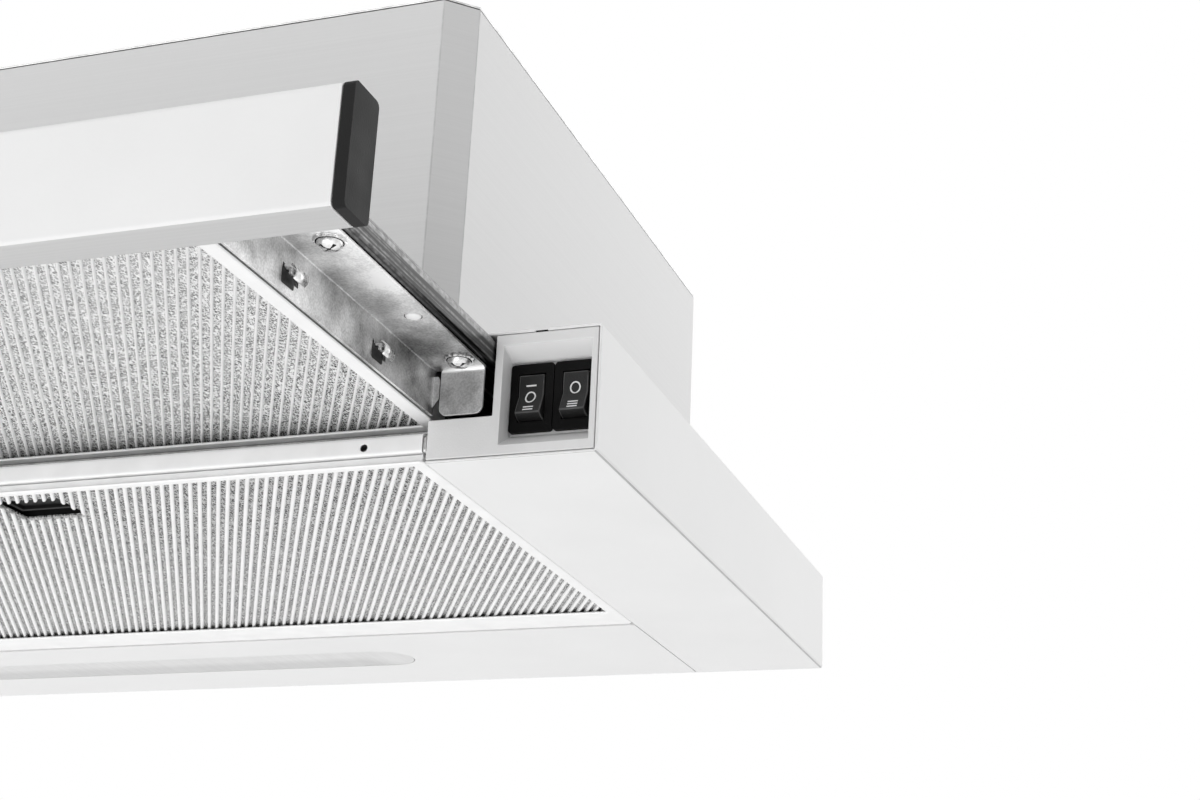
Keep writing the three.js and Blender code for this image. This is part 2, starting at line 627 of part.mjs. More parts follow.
// Thumb slide with a scooped grip; its bolt reaches over the piece that the filter hangs on.
function latchSlider(size, side) {
  const x = side * latch.x;
  const y = latchFront(size);
  const z = latchBase(size) + SEAT;
  const tongue = block(x - bolt.width / 2, x + bolt.width / 2, y - bolt.reach, y + latch.wall + bolt.root,
    z + bolt.rise, z + bolt.rise + bolt.height);
  const y0 = y + latch.wall + SEAT;
  const y1 = y + latch.depth - latch.wall - SEAT - grip.travel;
  const half = grip.width / 2;
  const plate = block(x - half, x + half, y0, y1, z, z + latch.height - latch.wall - 2 * SEAT);
  const scoop = block(x - half + grip.side, x + half - grip.side, y0 + grip.front, y1 - grip.side,
    z - PAST, z + bolt.rise);
  return tongue.add(plate).subtract(scoop);
}

// ---------------------------------------------------------------- drawer

function fasciaProfile() {
  const low = fascia.lift;
  const high = fascia.lift + fascia.height;
  const section = foldedSheet([[fasciaRear, fascia.slotHigh], [fasciaRear, high], [fasciaFront, high],
    [fasciaFront, low], [fasciaRear, low], [fasciaRear, fascia.slotLow]], fascia.sheet);
  const half = halfBase - endCap.thickness - SEAT;
  return extruded(section, 'x', -half, half);
}

function fasciaEndCap() {
  const x = halfBase - endCap.thickness;
  const high = fascia.lift + fascia.height;
  const outline = rectangle(fasciaFront, fasciaRear, fascia.lift, high, endCap.corner);
  const plugAt = (inset, x0, x1) => block(x0, x1, fasciaFront + inset, fasciaRear - inset,
    fascia.lift + inset, high - inset);
  const inset = fascia.sheet + SEAT;
  const plug = plugAt(inset, x - endCap.plug, x + BITE)
    .subtract(plugAt(inset + endCap.wall, x - endCap.plug - PAST, x));
  return extruded(outline, 'x', x, halfBase).add(plug);
}

function drawerCrossMember() {
  const bottom = drawerFilter.bottom + frontLip.height + SEAT;
  const rear = memberFront + crossMember.depth;
  const section = foldedSheet([[rear, memberTop], [memberFront, memberTop], [memberFront, bottom],
    [rear, bottom]], crossMember.sheet);
  return extruded(section, 'x', SEAT - wallInside, wallInside - SEAT);
}

// Side rail: a wall, an outward flange under the slide, a rear tab bent down and lanced hooks.
function sideRail() {
  const t = rail.sheet;
  const section = foldedSheet([[wallOutside, rail.bottom], [wallOutside, flangeTop - t],
    [flangeEdge, flangeTop - t]], t);
  const tabLeft = wallOutside + railTab.inset;
  const tabShape = rectangle(tabLeft, flangeEdge, railTab.bottom, flangeTop, railTab.corner);
  const tabRoot = block(tabLeft, flangeEdge, railRear - t, railRear, flangeTop - railTab.bend, flangeTop);
  const tab = extruded(tabShape, 'y', railRear - t, railRear).add(tabRoot);
  const { bottom, top, reach } = railReturn;
  const returnShape = polygon([[wallOutside - t, bottom], [wallOutside - railReturn.root, bottom],
    [wallOutside + reach, bottom + railReturn.foot], [wallOutside + reach, top - railReturn.shoulder],
    [wallOutside + reach - railReturn.neck, top], [wallOutside - t, top]]);
  const foot = block(wallOutside - BITE, wallOutside + rail.foot, memberFront, memberFront + t,
    rail.bottom, flangeTop - t / 2);
  let body = joined(extruded(section, 'y', memberFront, railRear), tab,
    extruded(returnShape, 'y', railRear - t, railRear), foot);
  const holes = [[railHoles.open, railHoles.hole], ...railHoles.screws.map((y) => [railHoles.screw, y])];
  for (const [diameter, fromRear] of holes) {
    body = body.subtract(cylinder('z', diameter / 2, flangeTop - t - PAST, flangeTop + PAST,
      wallOutside + railHoles.aside, railRear - fromRear, 8));
  }
  const z0 = lances.z - lances.height / 2;
  const z1 = lances.z + lances.height / 2;
  const hook = sheetAlong([[wallOutside + lances.lift, z0 + lances.tip],
    [wallOutside + lances.lift, z1 - lances.bend - lances.drop], [wallOutside, z1 - lances.bend],
    [wallOutside, z1 + lances.root]], t);
  for (const fromRear of lances.fromRear) {
    const y0 = railRear - fromRear - lances.length / 2;
    const y1 = y0 + lances.length;
    body = body.subtract(block(wallInside - PAST, wallOutside + PAST, y0, y1, z0, z1))
      .add(extruded(hook, 'y', y0 + lances.frontGap, y1 - lances.rearGap));
  }
  return body;
}

// Sheet that closes the top of the pulled-out drawer, folded down along both sides.
function visorPlate() {
  const half = wallInside - SEAT;
  const low = visorTop - visor.skirt;
  const section = foldedSheet([[half, low], [half, visorTop], [-half, visorTop], [-half, low]],
    visor.sheet);
  const rear = drawerFilter.rear + SEAT + rearBar.sheet;
  const member = block(-half - PAST, half + PAST, memberFront - PAST,
    memberFront + crossMember.depth + SEAT, low - PAST, memberTop + SEAT / 2);
  return extruded(section, 'y', memberFront + crossMember.sheet, rear).subtract(member);
}

function drawerRearBar() {
  const t = rearBar.sheet;
  const half = openingHalf - SEAT;
  const front = drawerFilter.rear + SEAT;
  const rear = front + t;
  const low = drawerFilter.bottom - SEAT - t;
  const high = visorTop - rearBar.below;
  const section = foldedSheet([[rear - rearBar.ledge, low], [rear, low], [rear, low + rearBar.height]], t);
  const outside = wallInside - SEAT - visor.sheet - SEAT;
  const ear = block(outside - rearBar.earWidth, outside, front, rear, low + rearBar.lift, high);
  const side = block(outside - t, outside, rear - rearBar.sideDepth, rear,
    drawerFilter.bottom + drawerBand.height + SEAT, high);
  return joined(extruded(section, 'x', -half, half), ear, side, mirrored(ear), mirrored(side));
}

// ---------------------------------------------------------------- drawer slides

const slideHalf = slide.width / 2;
const outerInside = slideHalf - slide.sheet;
const ballGap = ball.diameter + 2 * ball.play;
const midOutside = outerInside - ballGap;
const midInside = midOutside - middle.sheet;
const innerOutside = midInside - ballGap;
const lowerCageBottom = slideBottom + slide.sheet + SEAT;
const midBottom = lowerCageBottom + cage.web + SEAT;
const upperCageBottom = midBottom + middle.sheet + SEAT;
const innerBottom = upperCageBottom + cage.web + SEAT;

// The drawer's channel opens up and has small lips that keep the balls in.
function drawerChannel() {
  const c = slideCenter;
  const lipEdge = outerInside - slide.lip;
  const section = foldedSheet([[c - lipEdge, slideTop], [c - slideHalf, slideTop],
    [c - slideHalf, slideBottom], [c + slideHalf, slideBottom], [c + slideHalf, slideTop],
    [c + lipEdge, slideTop]], slide.sheet);
  const front = memberFront + rail.sheet + SEAT;
  return extruded(section, 'y', front, front + slideLength);
}

function middleChannel() {
  const c = slideCenter;
  const top = panelUnder - middle.topDrop;
  const section = foldedSheet([[c - midOutside, top], [c - midOutside, midBottom],
    [c + midOutside, midBottom], [c + midOutside, top]], middle.sheet);
  const front = slide.inset - drawer.travel / 2;
  return extruded(section, 'y', front, front + slideLength);
}

function fixedChannel() {
  const c = slideCenter;
  const top = panelUnder - SEAT;
  const section = foldedSheet([[c + innerOutside, innerBottom], [c + innerOutside, top],
    [c - innerOutside, top], [c - innerOutside, innerBottom]], inner.sheet);
  return extruded(section, 'y', slide.inset, slide.inset + slideLength);
}

// Ball cage: a U of thin sheet whose legs hold steel balls at the height of the raceways.
// Share is how much of the drawer's travel the cage makes.
function ballCage(webBottom, outside, share) {
  const c = slideCenter;
  const track = outside - ballGap / 2;
  const leg = track + cage.sheet / 2;
  const y0 = slide.inset + (slideLength - cage.length) / 2 - drawer.travel * share;
  const ballHeight = panelUnder - ball.drop;
  let whole = block(c - leg, c + leg, y0, y0 + cage.length, webBottom, webBottom + cage.web);
  for (const side of [-1, 1]) {
    const x = c + side * track;
    whole = whole.add(block(x - cage.sheet / 2, x + cage.sheet / 2, y0, y0 + cage.length, webBottom,
      ballHeight + cage.rim));
    for (let i = 0; i < ball.perSide; i += 1) {
      const sphere = new THREE.IcosahedronGeometry(ball.diameter / 2, 0);
      sphere.translate(x, y0 + (i + 0.5) * cage.length / ball.perSide, ballHeight);
      whole = whole.add(solid(sphere));
    }
  }
  return whole;
}

// ---------------------------------------------------------------- upper housing

// The housing's outline with its two cut corners, taken in evenly by an inset.
function footprint(inset) {
  const half = upperHalf - inset;
  const front = upper.front + inset;
  const rear = upperRear - inset;
  const cut = upper.chamfer - inset * (2 - Math.SQRT2);
  return polygon([[-half, front + cut], [cut - half, front], [half - cut, front], [half, front + cut],
    [half, rear], [-half, rear]]);
}

function upperShell() {
  const t = upper.sheet;
  const wall = extruded(footprint(0), 'z', bodyBottom, hangTop)
    .subtract(extruded(footprint(t), 'z', bodyBottom - PAST, hangTop + PAST));
  const seat = extruded(footprint(t / 2), 'z', bodyBottom, bodyBottom + t)
    .subtract(extruded(footprint(t + upper.flange), 'z', bodyBottom - PAST, bodyBottom + t + PAST));
  return wall.add(seat);
}

function topLid() {
  const inside = upper.sheet + SEAT;
  const low = lidUnder - lid.fold;
  const fold = extruded(footprint(inside), 'z', low, lidUnder + BITE)
    .subtract(extruded(footprint(inside + lid.sheet), 'z', low - PAST, lidUnder));
  const cut = (radius, x, y, sides) => cylinder('z', radius, lidUnder - PAST, upperTop + PAST, x, y, sides);
  return fold.add(extruded(footprint(0), 'z', lidUnder, upperTop))
    .subtract(cut(collar.outer / 2 - collar.wall, 0, collarY, 32))
    .subtract(cut(gland.thread, glandX, glandY, 12));
}

const collarBottom = upperTop + SEAT;
const flapZ = collarBottom + flap.rise;

// Turned profile: flange, spout with a clamping bead, and the ledge that the flaps close on.
function ductCollar() {
  const outside = collar.outer / 2;
  const inside = outside - collar.wall;
  const ledge = flapZ - flap.pin / 2 - SEAT - collarBottom;
  const beadHigh = collar.height - collar.beadTop;
  const points = [
    [inside, 0], [collar.flange / 2, 0], [collar.flange / 2, collar.flangeSheet],
    [outside, collar.flangeSheet], [outside, beadHigh - collar.beadHeight],
    [outside - collar.bead, beadHigh - collar.beadHeight / 2], [outside, beadHigh],
    [outside - collar.mouth, collar.height], [inside, collar.height], [inside, ledge],
    [inside - collar.ledge, ledge], [inside, ledge - collar.slope], [inside, 0],
  ].map(([r, z]) => new THREE.Vector2(r, z));
  const geometry = new THREE.LatheGeometry(points, 32);
  geometry.rotateX(Math.PI / 2);
  geometry.translate(0, collarY, collarBottom);
  return solid(geometry);
}

// Half-round non-return flap on a pin; a pair of them closes the collar.
function returnFlap(side) {
  const radius = collar.outer / 2 - collar.wall - flap.play;
  const reach = Math.asin(flap.spread / radius);
  const disc = new THREE.Shape();
  disc.absarc(0, 0, radius, reach, Math.PI - reach, false);
  const leaf = extruded(disc, 'z', -flap.sheet / 2, flap.sheet / 2, { curveSegments: 10 });
  const pinHalf = Math.cos(reach) * (radius + flap.play) - SEAT;
  const pin = cylinder('x', flap.pin / 2, -pinHalf, pinHalf, flap.spread, 0, 8);
  const whole = leaf.add(pin);
  return (side < 0 ? whole.mirror([0, 1, 0]) : whole).translate([0, collarY, flapZ]);
}

// Side view of the blower's volute: the radius grows round the fan, then runs up to the outlet.
function scrollOutline(inset, rise) {
  const sweep = 360 - scroll.startAngle;
  const points = [];
  for (let i = 0; i <= scroll.turns; i += 1) {
    const share = i / scroll.turns;
    const angle = rad(scroll.startAngle + sweep * share);
    const radius = THREE.MathUtils.lerp(scroll.startRadius, scroll.endRadius, share) - inset;
    points.push([scrollY + radius * Math.cos(angle), scrollZ + radius * Math.sin(angle)]);
  }
  points.push([scrollY + scroll.endRadius - inset, hangTop + rise],
    [points[0][0] + inset / 2, hangTop + rise]);
  return polygon(points);
}

function blowerScroll() {
  const half = scroll.halfWidth;
  const w = scroll.wall;
  const outside = extruded(scrollOutline(0, 0), 'x', -half, half);
  const inside = extruded(scrollOutline(w, PAST), 'x', w - half, half - w);
  const front = scrollY + scroll.startRadius * Math.cos(rad(scroll.startAngle));
  const rear = scrollY + scroll.endRadius;
  const f = scroll.flange;
  const flange = block(-half - f, half + f, front - f, rear + f, hangTop - scroll.flangeSheet, hangTop)
    .subtract(block(PAST - half, half - PAST, front + PAST, rear - PAST,
      hangTop - scroll.flangeSheet - PAST, hangTop + PAST));
  const lip = cylinder('x', scroll.inlet + scroll.lip, -half - scroll.lipReach, PAST - half, scrollY,
    scrollZ, 32);
  const inlets = cylinder('x', scroll.inlet, -half - scroll.lipReach - PAST, half + PAST, scrollY,
    scrollZ, 32);
  return joined(outside.subtract(inside), flange, lip).subtract(inlets);
}

// Double-inlet drum: forward-curved blades between a centre disc and two end rings.
function blowerImpeller() {
  const { outer, disc } = impeller;
  const half = scroll.halfWidth - impeller.endGap;
  const from = rad(impeller.bladeFrom);
  const to = rad(impeller.bladeTo);
  const centre = (outer + impeller.inner) / 2;
  const bow = (outer - impeller.inner) / 2 + impeller.bow;
  const section = new THREE.Shape();
  section.absarc(centre, 0, bow, from, to, false);
  section.absarc(centre, 0, bow - impeller.blade, to, from, true);
  const blade = extruded(section, 'x', -half, half, { curveSegments: 1 });
  let drum = cylinder('x', impeller.inner + impeller.discRim, -disc / 2, disc / 2, 0, 0, 24)
    .add(cylinder('x', impeller.hub, -impeller.hubHalf, impeller.hubHalf, 0, 0, 12));
  for (let i = 0; i < impeller.blades; i += 1) {
    drum = drum.add(blade.rotate([i * 360 / impeller.blades, 0, 0]));
  }
  const rimOuter = outer + impeller.ringProud;
  const rim = cylinder('x', rimOuter, half - impeller.ring, half, 0, 0, 24)
    .subtract(cylinder('x', rimOuter - impeller.ringWidth, half - impeller.ring - PAST, half + PAST,
      0, 0, 24));
  return joined(drum, rim, mirrored(rim))
    .subtract(cylinder('x', motor.shaft + SEAT, -half, half, 0, 0, 12))
    .translate([0, scrollY, scrollZ]);
}

function blowerMotor() {
  const { start, shaft } = motor;
  const end = start + motor.length;
  const can = cylinder('x', motor.radius, start, end, 0, 0, 20);
  const boss = cylinder('x', motor.boss, start - motor.bossReach, start + PAST, 0, 0, 12);
  const tail = cylinder('x', motor.tail, end - PAST, end + motor.tailLength, 0, 0, 14);
  const rod = cylinder('x', shaft, -motor.shaftReach, start + PAST, 0, 0, 12);
  return joined(can, boss, tail, rod).translate([0, scrollY, scrollZ]);
}

// Spider that carries the motor in the right-hand inlet.
function motorSpider() {
  const x0 = scroll.halfWidth + SEAT;
  const x1 = x0 + spider.sheet;
  let whole = cylinder('x', spider.ring, x0, x1, 0, 0, 28)
    .subtract(cylinder('x', scroll.inlet, x0 - PAST, x1 + PAST, 0, 0, 24));
  for (let i = 0; i < spider.arms; i += 1) {
    const arm = block(x0, x1, -spider.armWidth / 2, spider.armWidth / 2, motor.tail - spider.overlap,
      scroll.inlet + spider.overlap);
    whole = whole.add(arm.rotate([i * 360 / spider.arms, 0, 0]));
  }
  const hold = motor.tail + SEAT;
  const cup = cylinder('x', hold + spider.cup, motor.start + motor.length + spider.cupGap, x1, 0, 0, 14)
    .subtract(cylinder('x', hold, motor.start, x1 - spider.cupFloor, 0, 0, 14));
  return whole.add(cup).translate([0, scrollY, scrollZ]);
}

function electronicsBox() {
  const { height, cover } = controlBox;
  const boxOutline = (by) => rectangle(boxX - controlBox.width / 2 - by, boxX + controlBox.width / 2 + by,
    boxY - controlBox.depth / 2 - by, boxY + controlBox.depth / 2 + by, controlBox.corner);
  const bottom = hangTop - height;
  const body = extruded(boxOutline(0), 'z', bottom, hangTop, { curveSegments: 2 });
  return body.add(extruded(boxOutline(controlBox.proud), 'z', bottom - cover,
    bottom + controlBox.coverLap, { curveSegments: 2 }));
}

function motorCapacitor() {
  const x = -capacitor.aside;
  const y = upperRear - capacitor.rear;
  const bottom = hangTop - capacitor.height;
  const can = cylinder('z', capacitor.radius, bottom, hangTop, x, y, 20);
  const halfSheet = capacitor.bladeSheet / 2;
  const terminals = [-1, 1].map((side) => {
    const middleX = x + side * (capacitor.bladeAside + halfSheet);
    return block(middleX - halfSheet, middleX + halfSheet, y - capacitor.bladeWidth / 2,
      y + capacitor.bladeWidth / 2, bottom - capacitor.blade, bottom + BITE);
  });
  return joined(can, ...terminals);
}

function cableGland() {
  const z0 = upperTop + SEAT;
  const nut = cylinder('z', gland.nut, z0, z0 + gland.nutHeight, glandX, glandY, 6);
  const dome = cylinder('z', gland.radius, z0, z0 + gland.height, glandX, glandY, 16);
  const bore = cylinder('z', gland.bore, z0 - PAST, z0 + gland.height + PAST, glandX, glandY, 12);
  return nut.add(dome).subtract(bore);
}

// ---------------------------------------------------------------- assembly

piece('base_shell', baseShell(), whitePaint);
piece('rear_underside_panel', rearUndersidePanel(), whitePaint);
piece('lamp_lens', lampLens(), frosted);
piece('lamp_housing', lampHousing(), whitePaint);
piece('led_board', ledBoard(), board);
piece('front_cross_bar', frontCrossBar(), whitePaint);
pair('bar_clip', cornerClip(), galvanised);
piece('front_corner_right', switchMoulding(), greyPlastic);
piece('front_corner_left', mirrored(cornerMoulding()), greyPlastic);
['fan', 'lamp'].forEach((use, i) => {
  piece(`switch_housing_${use}`, switchHousing(switchCenters[i]), blackPlastic);
  piece(`rocker_${use}`, rockerKey(switchCenters[i]), blackPlastic);
});

for (const [name, size] of [['bottom', bottomFilter], ['drawer', drawerFilter]]) {
  piece(`${name}_filter_frame`, filterFrame(size), aluminium);
  piece(`${name}_filter_pack`, filterPack(size), aluminium);
  for (const [side, word] of [[1, 'right'], [-1, 'left']]) {
    piece(`${name}_latch_housing_${word}`, latchHousing(size, side), blackPlastic);
    piece(`${name}_latch_slider_${word}`, latchSlider(size, side), blackPlastic);
  }
}

piece('fascia_profile', fasciaProfile(), whitePaint);
pair('fascia_end_cap', fasciaEndCap(), blackPlastic);
piece('drawer_cross_member', drawerCrossMember(), galvanised);
pair('drawer_side_rail', sideRail(), galvanised);
piece('drawer_visor_plate', visorPlate(), galvanised);
piece('drawer_rear_bar', drawerRearBar(), galvanised);

pair('slide_drawer_channel', drawerChannel(), slideSteel);
pair('slide_middle_channel', middleChannel(), slideSteel);
pair('slide_fixed_channel', fixedChannel(), slideSteel);
pair('slide_lower_cage', ballCage(lowerCageBottom, outerInside, 0.75), slideSteel);
pair('slide_upper_cage', ballCage(upperCageBottom, midInside, 0.25), slideSteel);

piece('upper_shell', upperShell(), bodyPaint);
piece('top_lid', topLid(), galvanised);
piece('duct_collar', ductCollar(), housingPlastic);
piece('return_flap_rear', returnFlap(1), housingPlastic);
piece('return_flap_front', returnFlap(-1), housingPlastic);
piece('blower_scroll', blowerScroll(), housingPlastic);
piece('blower_impeller', blowerImpeller(), housingPlastic);
piece('blower_motor', blowerMotor(), motorSteel);
piece('motor_spider', motorSpider(), galvanised);
piece('electronics_box', electronicsBox(), whitePaint);
piece('motor_capacitor', motorCapacitor(), motorSteel);
piece('cable_gland', cableGland(), blackPlastic);

hood.position.y = -centerY;

export default hood;
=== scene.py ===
# %% [markdown]
# # A pull-out range hood, dressed for its portrait
# The real object is a slim cooker hood: a flat white base, a narrower housing on top of it, and a drawer
# that slides out on ball slides with a second grease filter in it. Its solid parts come from a CAD model,
# which is loaded first and never moved. This lesson keeps the solids whose shape is right, rebuilds the ones
# that need softer edges or finer detail, gives every surface a procedural finish, and lights the scene.

# %% Load the solid parts
import json
import math

import bmesh
import bpy
from mathutils import Matrix, Vector
from mathutils.bvhtree import BVHTree


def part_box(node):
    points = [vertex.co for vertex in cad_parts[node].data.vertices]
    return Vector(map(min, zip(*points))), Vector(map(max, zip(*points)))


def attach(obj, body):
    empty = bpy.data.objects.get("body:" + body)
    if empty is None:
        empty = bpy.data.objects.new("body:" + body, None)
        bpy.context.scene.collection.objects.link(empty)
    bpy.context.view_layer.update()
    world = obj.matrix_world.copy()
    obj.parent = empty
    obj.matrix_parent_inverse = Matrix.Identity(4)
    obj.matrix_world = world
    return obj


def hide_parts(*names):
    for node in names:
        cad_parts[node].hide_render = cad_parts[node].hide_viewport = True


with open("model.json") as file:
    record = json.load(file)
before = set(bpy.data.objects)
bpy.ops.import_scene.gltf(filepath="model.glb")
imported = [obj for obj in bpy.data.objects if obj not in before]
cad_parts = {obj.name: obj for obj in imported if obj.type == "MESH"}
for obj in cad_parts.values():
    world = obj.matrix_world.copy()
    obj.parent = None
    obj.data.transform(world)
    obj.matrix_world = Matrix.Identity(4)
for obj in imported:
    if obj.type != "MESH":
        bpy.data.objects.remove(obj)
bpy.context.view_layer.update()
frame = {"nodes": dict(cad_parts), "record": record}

mm = 0.001
slot_of = {part["node"]: part["material_slot"] for part in frame["record"]["subparts"]}
body_of = {node: body for body, nodes in frame["record"]["behaviour"]["bodies"].items() for node in nodes}

# %% [markdown]
# ## Where things are
# The CAD model was drawn with Y = 0 on the front face of the base and Z = 0 on its underside. The packed
# model is centred instead, so one small function turns a measure from the drawing into a point of the scene.
# The hood is the same on both sides, so a second function places a box on the side that a sign gives.

# %% Points of the drawing
base_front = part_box("base_shell")[0].y
sides = {"right": 1, "left": -1}
up, down, rearwards = (0, 0, 1), (0, 0, -1), (0, 1, 0)


def at(x, y, z):
    """A point of the drawing, in millimetres, as a point of the scene."""
    return Vector((x * mm, base_front + y * mm, z * mm))


def sided_box(sign, inner, outer):
    """The lowest and the highest corner of a box that is drawn for the right and used on either side."""
    low_x, high_x = sorted((sign * inner[0], sign * outer[0]))
    return at(low_x, *inner[1:]), at(high_x, *outer[1:])


print("front of the base at y =", round(base_front, 5))

# %% [markdown]
# ## The camera
# The photograph looks up at the hood from below its right-hand front corner. The camera was solved from the
# edges of the base and of the drawer, as a position and three angles: yaw turns it round the vertical, pitch
# tips it up, and roll turns it about its own line of sight. From these come the camera's own three axes.

# %% Camera
yaw, pitch, roll = (math.radians(angle) for angle in (20.291, 20.478, 2.633))
camera_place = (0.482585, -0.554631, -0.181890)
ahead = Vector((-math.sin(yaw) * math.cos(pitch), math.cos(yaw) * math.cos(pitch), math.sin(pitch)))
level = Vector((math.cos(yaw), math.sin(yaw), 0))
rise = level.cross(ahead)
across = math.cos(roll) * level + math.sin(roll) * rise
upward = math.cos(roll) * rise - math.sin(roll) * level

camera_data = bpy.data.cameras.new("camera")
camera_data.lens = 58.48
camera_data.sensor_width = 36
camera = bpy.data.objects.new("camera", camera_data)
camera_axes = Matrix((across, upward, -ahead)).transposed().to_4x4()
camera.matrix_world = Matrix.Translation(camera_place) @ camera_axes
scene = bpy.context.scene
scene.collection.objects.link(camera)
scene.camera = camera
scene.view_settings.view_transform = "Standard"
print("camera looks along", [round(value, 3) for value in ahead])

# %% [markdown]
# ## Small helpers for finishes
# A finish is a network of shader nodes. Writing each node in five lines would bury the idea, so a helper
# adds a node with its inputs, where an input is either a plain value or the output of another node.

# %% Node helpers
def add(tree, kind, inputs=None, **settings):
    """Adds a shader node, sets its options, and fills or links its inputs by name or by number."""
    made = tree.nodes.new("ShaderNode" + kind)
    for name, value in settings.items():
        setattr(made, name, value)
    for name, value in (inputs or {}).items():
        if isinstance(value, bpy.types.NodeSocket):
            tree.links.new(value, made.inputs[name])
        else:
            made.inputs[name].default_value = value
    return made


def here(tree):
    """The shaded point, in the object's own coordinates."""
    return add(tree, "TexCoord").outputs["Object"]


def split(tree, point):
    return add(tree, "SeparateXYZ", {0: point}).outputs


def noise(tree, point, scale, detail, **more):
    inputs = {"Vector": point, "Scale": scale, "Detail": detail, **more}
    return add(tree, "TexNoise", inputs).outputs[0]


def ranged(tree, value, low, high, new_low=0.0, new_high=1.0):
    """Stretches a value from one range to another, and holds it there."""
    inputs = {"Value": value, "From Min": low, "From Max": high, "To Min": new_low, "To Max": new_high}
    return add(tree, "MapRange", inputs).outputs[0]


def maths(tree, operation, first, second=0.5):
    return add(tree, "Math", {0: first, 1: second}, operation=operation).outputs[0]


def summed(tree, *terms):
    """The sum of some values, each given with the share that it has in it."""
    total = 0.0
    for value, share in terms:
        total = maths(tree, "ADD", total, maths(tree, "MULTIPLY", value, share))
    return total


def blended(tree, share, first, second):
    """A colour that goes from the first to the second as share goes from 0 to 1."""
    return add(tree, "Mix", {0: share, 6: first, 7: second}, data_type="RGBA").outputs[2]


def grey(tone):
    return (tone, tone, tone, 1)


def node_group(name, inputs, outputs):
    """An empty group with number inputs and outputs; returns its tree, its inputs and its outputs."""
    tree = bpy.data.node_groups.new(name, "ShaderNodeTree")
    for title, value in inputs.items():
        socket = tree.interface.new_socket(title, in_out="INPUT", socket_type="NodeSocketFloat")
        socket.default_value = value
    for title in outputs:
        tree.interface.new_socket(title, in_out="OUTPUT", socket_type="NodeSocketFloat")
    return tree, tree.nodes.new("NodeGroupInput").outputs, tree.nodes.new("NodeGroupOutput").inputs


def use(tree, group, **inputs):
    """Places a node group; underscores in the names stand for spaces."""
    made = tree.nodes.new("ShaderNodeGroup")
    made.node_tree = group
    for name, value in inputs.items():
        made.inputs[name.replace("_", " ")].default_value = value
    return made.outputs


# %% [markdown]
# ## Patterns that several finishes share
# Grain is noise with its own fineness along X, Y and Z. Equal numbers give round specks, as on moulded
# plastic or orange-peel paint, and one small number pulls the specks into lines, as on brushed sheet.

# %% Grain
grain, given, result = node_group(
    "grain", {"Per metre X": 500.0, "Per metre Y": 500.0, "Per metre Z": 500.0, "Detail": 2.0}, ["Tone"])
fineness = add(grain, "CombineXYZ", {0: given[0], 1: given[1], 2: given[2]}).outputs[0]
stretched = add(grain, "VectorMath", {0: here(grain), 1: fineness}, operation="MULTIPLY").outputs[0]
specks = noise(grain, stretched, 1.0, given[3])
grain.links.new(ranged(grain, specks, 0.3, 0.7), result[0])


def grained(tree, per_metre, detail=2.0):
    """Places the grain. Its fineness is one number, or one each for X, Y and Z."""
    x, y, z = per_metre if isinstance(per_metre, tuple) else (per_metre,) * 3
    return use(tree, grain, Per_metre_X=x, Per_metre_Y=y, Per_metre_Z=z, Detail=detail)[0]


print("group made:", grain.name)

# %% [markdown]
# Zinc on hot-dipped sheet freezes in flat crystals, each with its own shade. Voronoi cells give every crystal
# one tone, slow noise lets some areas go dull and dark, and fine noise breaks it up. A little noise is added
# to the place before the cells are looked up, so that the crystals get wavy borders.

# %% Zinc crystals
zinc, given, result = node_group(
    "zinc_crystals", {"Crystals per metre": 260.0, "Blotches per metre": 38.0, "Crystal share": 0.14,
                      "Blotch share": 0.62, "Speck share": 0.24}, ["Tone", "Height"])
crystals_per_metre, blotches_per_metre, crystal_share, blotch_share, speck_share = given[:5]
spot = here(zinc)
wobble = add(zinc, "TexNoise", {"Vector": spot, "Scale": 300.0, "Detail": 2.0}).outputs["Color"]
bent = add(zinc, "VectorMath", {0: wobble, 3: 4 * mm}, operation="SCALE").outputs[0]
place = add(zinc, "VectorMath", {0: spot, 1: bent}, operation="ADD").outputs[0]
cells = add(zinc, "TexVoronoi", {"Vector": place, "Scale": crystals_per_metre})
crystal = add(zinc, "SeparateColor", {0: cells.outputs["Color"]}).outputs[0]
patches = ranged(zinc, noise(zinc, spot, blotches_per_metre, 5.0, Roughness=0.62), 0.36, 0.66)
fine = ranged(zinc, noise(zinc, spot, 1500.0, 3.0), 0.35, 0.65)
tone = summed(zinc, (crystal, crystal_share), (patches, blotch_share), (fine, speck_share))
zinc.links.new(tone, result[0])
zinc.links.new(summed(zinc, (crystal, 0.5), (fine, 0.5)), result[1])
print("group made:", zinc.name)

# %% [markdown]
# Cut edges and bends catch the light, so their colour gets a painted highlight, and on the housing a painted
# shade line instead. The pieces built below carry an attribute called "edge", which is 1 on their rounded
# edges, and this group turns it into an uneven mask for that painted edge tone.

# %% Painted light and shade on edges
edge_light_and_shade, given, result = node_group("rubbed_edges", {"Amount": 1.0}, ["Mask"])
edge = add(edge_light_and_shade, "Attribute", attribute_name="edge").outputs["Fac"]
uneven = ranged(edge_light_and_shade, noise(edge_light_and_shade, here(edge_light_and_shade), 220.0, 3.0), 0.35, 0.6, 0.35, 1.0)
mask = maths(edge_light_and_shade, "MULTIPLY", edge, uneven)
edge_light_and_shade.links.new(maths(edge_light_and_shade, "MULTIPLY", mask, given[0]), result[0])
print("group made:", edge_light_and_shade.name)

# %% [markdown]
# ## A finish for each slot
# Every solid names a material slot, and so will every new piece. One function makes the shared frame of a
# finish, and another lays a pattern on it: two tones, a roughness that follows them, an edge tone that paints
# light and shade along the edges, and a little bump. Many finishes need only one grain, and a third function
# makes such a finish in one line.

# %% The common frame of a finish
finishes = {}


